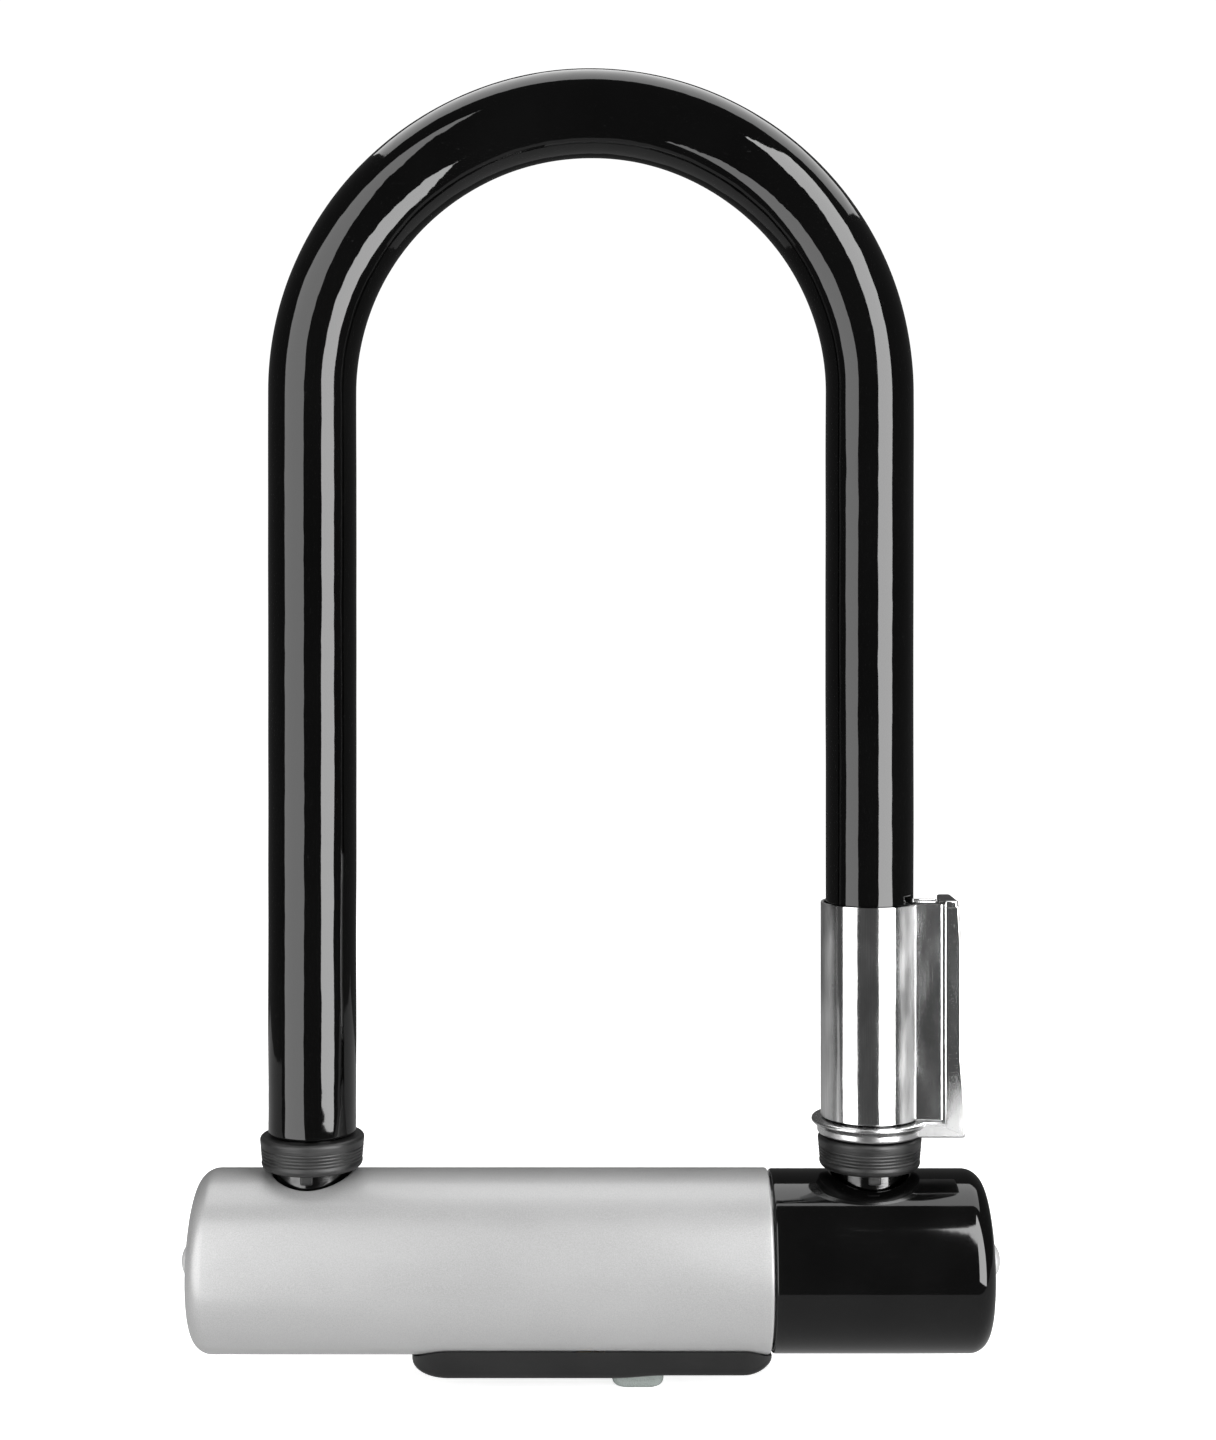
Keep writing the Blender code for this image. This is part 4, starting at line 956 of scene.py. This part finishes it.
def make_base():
    """Long moulded cover that hugs the crossbar, with a channel for the slider and a window below."""
    bm = bmesh.new()
    rings = []
    for x, depth, width in base_stations():
        rings.append([bm.verts.new((x, y, z)) for y, z in base_section(depth, width)])
    skin(bm, rings)
    bm.faces.new(rings[0])
    bm.faces.new(rings[-1])
    hug_radius = SILVER_HIGH.y + GAP
    hug = revolve([(0.0, -LEG_X), (hug_radius, -LEG_X), (hug_radius, LEG_X), (0.0, LEG_X)], SHELL_SIDES)
    travel = frame_travel("dust_cover_slide")
    below = BASE_LOW.z - MM
    channel = block((SLIDER_LOW.x - GAP, 0.0, BASE_FLOOR),
                    (SLIDER_HIGH.x + travel + GAP, SLIDER_HIGH.y + GAP, 0.0), 0.4 * MM, 0.05 * MM)
    window = block((SLIDER_LOW.x + MM, 0.0, below),
                   (TAB_HIGH.x + travel + GAP, TAB_HIGH.y + GAP, BASE_FLOOR + GAP), 1.2 * MM, 0.05 * MM)
    screw_low, screw_high = extent("dust_cover_screw")
    head, top = screw_high.y + GAP, BASE_FLOOR + GAP
    recess = revolve([(0.0, below), (head, below), (head, top), (0.0, top)], 48)
    recess = placed(recess, ((screw_low.x + screw_high.x) / 2, 0.0, 0.0))
    bm = combined(bm, "DIFFERENCE", placed(hug, along="X"), channel, window, recess)
    show("moulded_cover_base", bm, "crossbar", "dust_cover_plastic", "dust_cover_base")


def frame_travel(joint):
    """How far a sliding joint of the frame goes, in metres."""
    low, high = next(row["range_m"] for row in frame["joints"] if row["name"] == joint)
    return high - low


def make_slider():
    """Sliding plate with a raised rim, and the pale thumb tab below it."""
    plate = block(SLIDER_LOW, SLIDER_HIGH, 0.8 * MM, 0.2 * MM)
    tray = block((SLIDER_LOW.x + TRAY_RIM, 0.0, SLIDER_HIGH.z - TRAY_DEPTH),
                 (SLIDER_HIGH.x - TRAY_RIM, SLIDER_HIGH.y - TRAY_RIM, 0.0), 0.6 * MM, 0.05 * MM)
    show("cover_slide_plate", combined(plate, "DIFFERENCE", tray), "dust_cover", "dust_cover_plastic",
         "dust_cover_slider")
    tab = block(TAB_LOW, (TAB_HIGH.x, TAB_HIGH.y, BASE_FLOOR), TAB_CORNER, TAB_ROUND, 0.3 * MM, steps=7)
    show("rounded_thumb_tab", tab, "dust_cover", "thumb_tab_plastic", "thumb_tab")


def make_cover_screw():
    """Screw with a flat round head and a cross recess, through the base and up into the tube."""
    low, high = extent("dust_cover_screw")
    head, edge = high.y, 0.2 * MM
    profile = [(0.0, low.z)]
    profile += arc((head - edge, low.z + edge), edge, -QUARTER, 0.0, 4)
    profile += [(head, BASE_FLOOR), (COVER_SCREW_SHANK, BASE_FLOOR), (COVER_SCREW_SHANK, high.z)]
    profile.append((0.0, high.z))
    bm = revolve(profile, 48)
    cross = []
    for half_x, half_y in ((CROSS_LENGTH, CROSS_WIDTH), (CROSS_WIDTH, CROSS_LENGTH)):
        far = (half_x, half_y, low.z + CROSS_DEPTH)
        cross.append(block((-half_x, 0.0, low.z - MM), far, 0.1 * MM, 0.08 * MM))
    bm = combined(bm, "DIFFERENCE", *cross)
    show("cross_head_screw", placed(bm, ((low.x + high.x) / 2, 0.0, 0.0)), "crossbar", "dark_fastener",
         "dust_cover_screw")


# ---------------------------------------------------------------- mechanism carried over from the frame
CARRIED = {
    "hardened_tube": ["crossbar_tube"],
    "bare_steel": ["left_plug_pin", "right_plug_pin", "cylinder_retaining_pin", "left_deadbolt",
                   "right_deadbolt", "anti_drill_disc", "tumbler_disc_1", "tumbler_disc_2",
                   "tumbler_disc_3", "tumbler_disc_4", "sidebar", "cam_disc"],
    "dark_fastener": ["left_end_plug", "right_end_plug", "cylinder_circlip", "left_bolt_pin",
                      "right_bolt_pin"],
    "lock_brass": ["left_bolt_guide", "right_bolt_guide", "cylinder_housing", "plug_carrier"],
}


def dress_carried_nodes():
    for slot, nodes in CARRIED.items():
        for node in nodes:
            mesh = frame["nodes"][node].data
            mesh.materials.clear()
            mesh.materials.append(SURFACES[slot])


# ---------------------------------------------------------------- studio
def emitter(name, colour):
    """Matt stage material that also glows; the caller feeds the glow."""
    surface = Surface(name)
    surface.finish(colour, 0.9)
    surface.shader.inputs["Emission Color"].default_value = (1.0, 1.0, 1.0, 1.0)
    return surface


def stage_piece(name, bm, material):
    mesh = bpy.data.meshes.new(name)
    bm.to_mesh(mesh)
    bm.free()
    mesh.shade_smooth()
    mesh.materials.append(material)
    thing = bpy.data.objects.new(name, mesh)
    bpy.context.scene.collection.objects.link(thing)
    return thing


def make_stage():
    """White floor that fades into a white surround; only the camera sees the surround."""
    white = emitter("floor_white", 0.8)
    distance = white.node("ShaderNodeVectorMath", {0: white.place}, operation="LENGTH").outputs["Value"]
    white.feed(white.shader.inputs["Emission Strength"], white.between(distance, 0.80, 1.05, 0.05, 0.60))
    bm = bmesh.new()
    bmesh.ops.create_circle(bm, cap_ends=True, segments=96, radius=1.9)
    floor = stage_piece("pale_floor", bm, white.material)
    floor.visible_glossy = False
    floor.visible_shadow = False
    glow = emitter("surround_white", 0.0)
    glow.shader.inputs["Emission Strength"].default_value = 1.05
    bm = bmesh.new()
    bmesh.ops.create_uvsphere(bm, u_segments=48, v_segments=24, radius=2.0)
    surround = stage_piece("pale_surround", bm, glow.material)
    for ray in ("diffuse", "glossy", "transmission", "shadow", "volume_scatter"):
        setattr(surround, f"visible_{ray}", False)


def area_light(name, centre, facing, width, height, radiance):
    """Soft box: a lit rectangle of a brightness, centred at a place and facing a direction."""
    light = bpy.data.lights.new(name, "AREA")
    light.shape = "RECTANGLE"
    light.size = width
    light.size_y = height
    light.energy = radiance * math.pi * width * height
    lamp = bpy.data.objects.new(name, light)
    lamp.location = centre
    lamp.rotation_euler = Vector(facing).to_track_quat("-Z", "Y").to_euler()
    lamp.visible_camera = False
    bpy.context.scene.collection.objects.link(lamp)
    return lamp


def make_lights():
    area_light("left_softbox", (-0.325, -0.205, 0.175), (0.0, 1.0, 0.0), 0.45, 0.55, 3.4)
    area_light("right_softbox", (0.173, -0.216, 0.21), (-0.94, 0.34, 0.0), 0.204, 0.48, 9.0)
    area_light("top_softbox", (0.08, 0.158, 0.52), (0.0, 0.0, -1.0), 0.70, 0.385, 2.6)
    card = area_light("low_card", (0.0, 0.10, 0.003), (0.0, 0.0, 1.0), 0.6, 0.30, 0.34)
    card.visible_diffuse = False
    world = bpy.data.worlds.new("studio")
    world.use_nodes = True
    background = world.node_tree.nodes["Background"]
    background.inputs["Color"].default_value = (1.0, 1.0, 1.0, 1.0)
    background.inputs["Strength"].default_value = 0.08
    bpy.context.scene.world = world
    bpy.context.scene.view_settings.view_transform = "Standard"


def make_camera():
    """Level camera a little above the middle, close enough to look down on the crossbar."""
    data = bpy.data.cameras.new("front_camera")
    data.sensor_width = 36.0
    data.lens = 52.3
    data.shift_y = -0.0694
    camera = bpy.data.objects.new("front_camera", data)
    camera.location = (0.003, -0.368, 0.134)
    camera.rotation_euler = (QUARTER, 0.0, 0.0)
    bpy.context.scene.collection.objects.link(camera)
    bpy.context.scene.camera = camera


# ---------------------------------------------------------------- assembly
SURFACES = make_surfaces()
make_coating()
make_bar()
make_collar("left", -1.0)
make_collar("right", 1.0)
make_bracket_sleeve()
make_bracket_carrier()
make_bracket_screw("lower")
make_bracket_screw("upper")
make_shells()
rivet_finish = painted_rivet_surface()
make_rivet("left", "-X", rivet_finish)
make_rivet("right", "X", rivet_finish)
make_base()
make_slider()
make_cover_screw()
dress_carried_nodes()
make_stage()
make_lights()
make_camera()
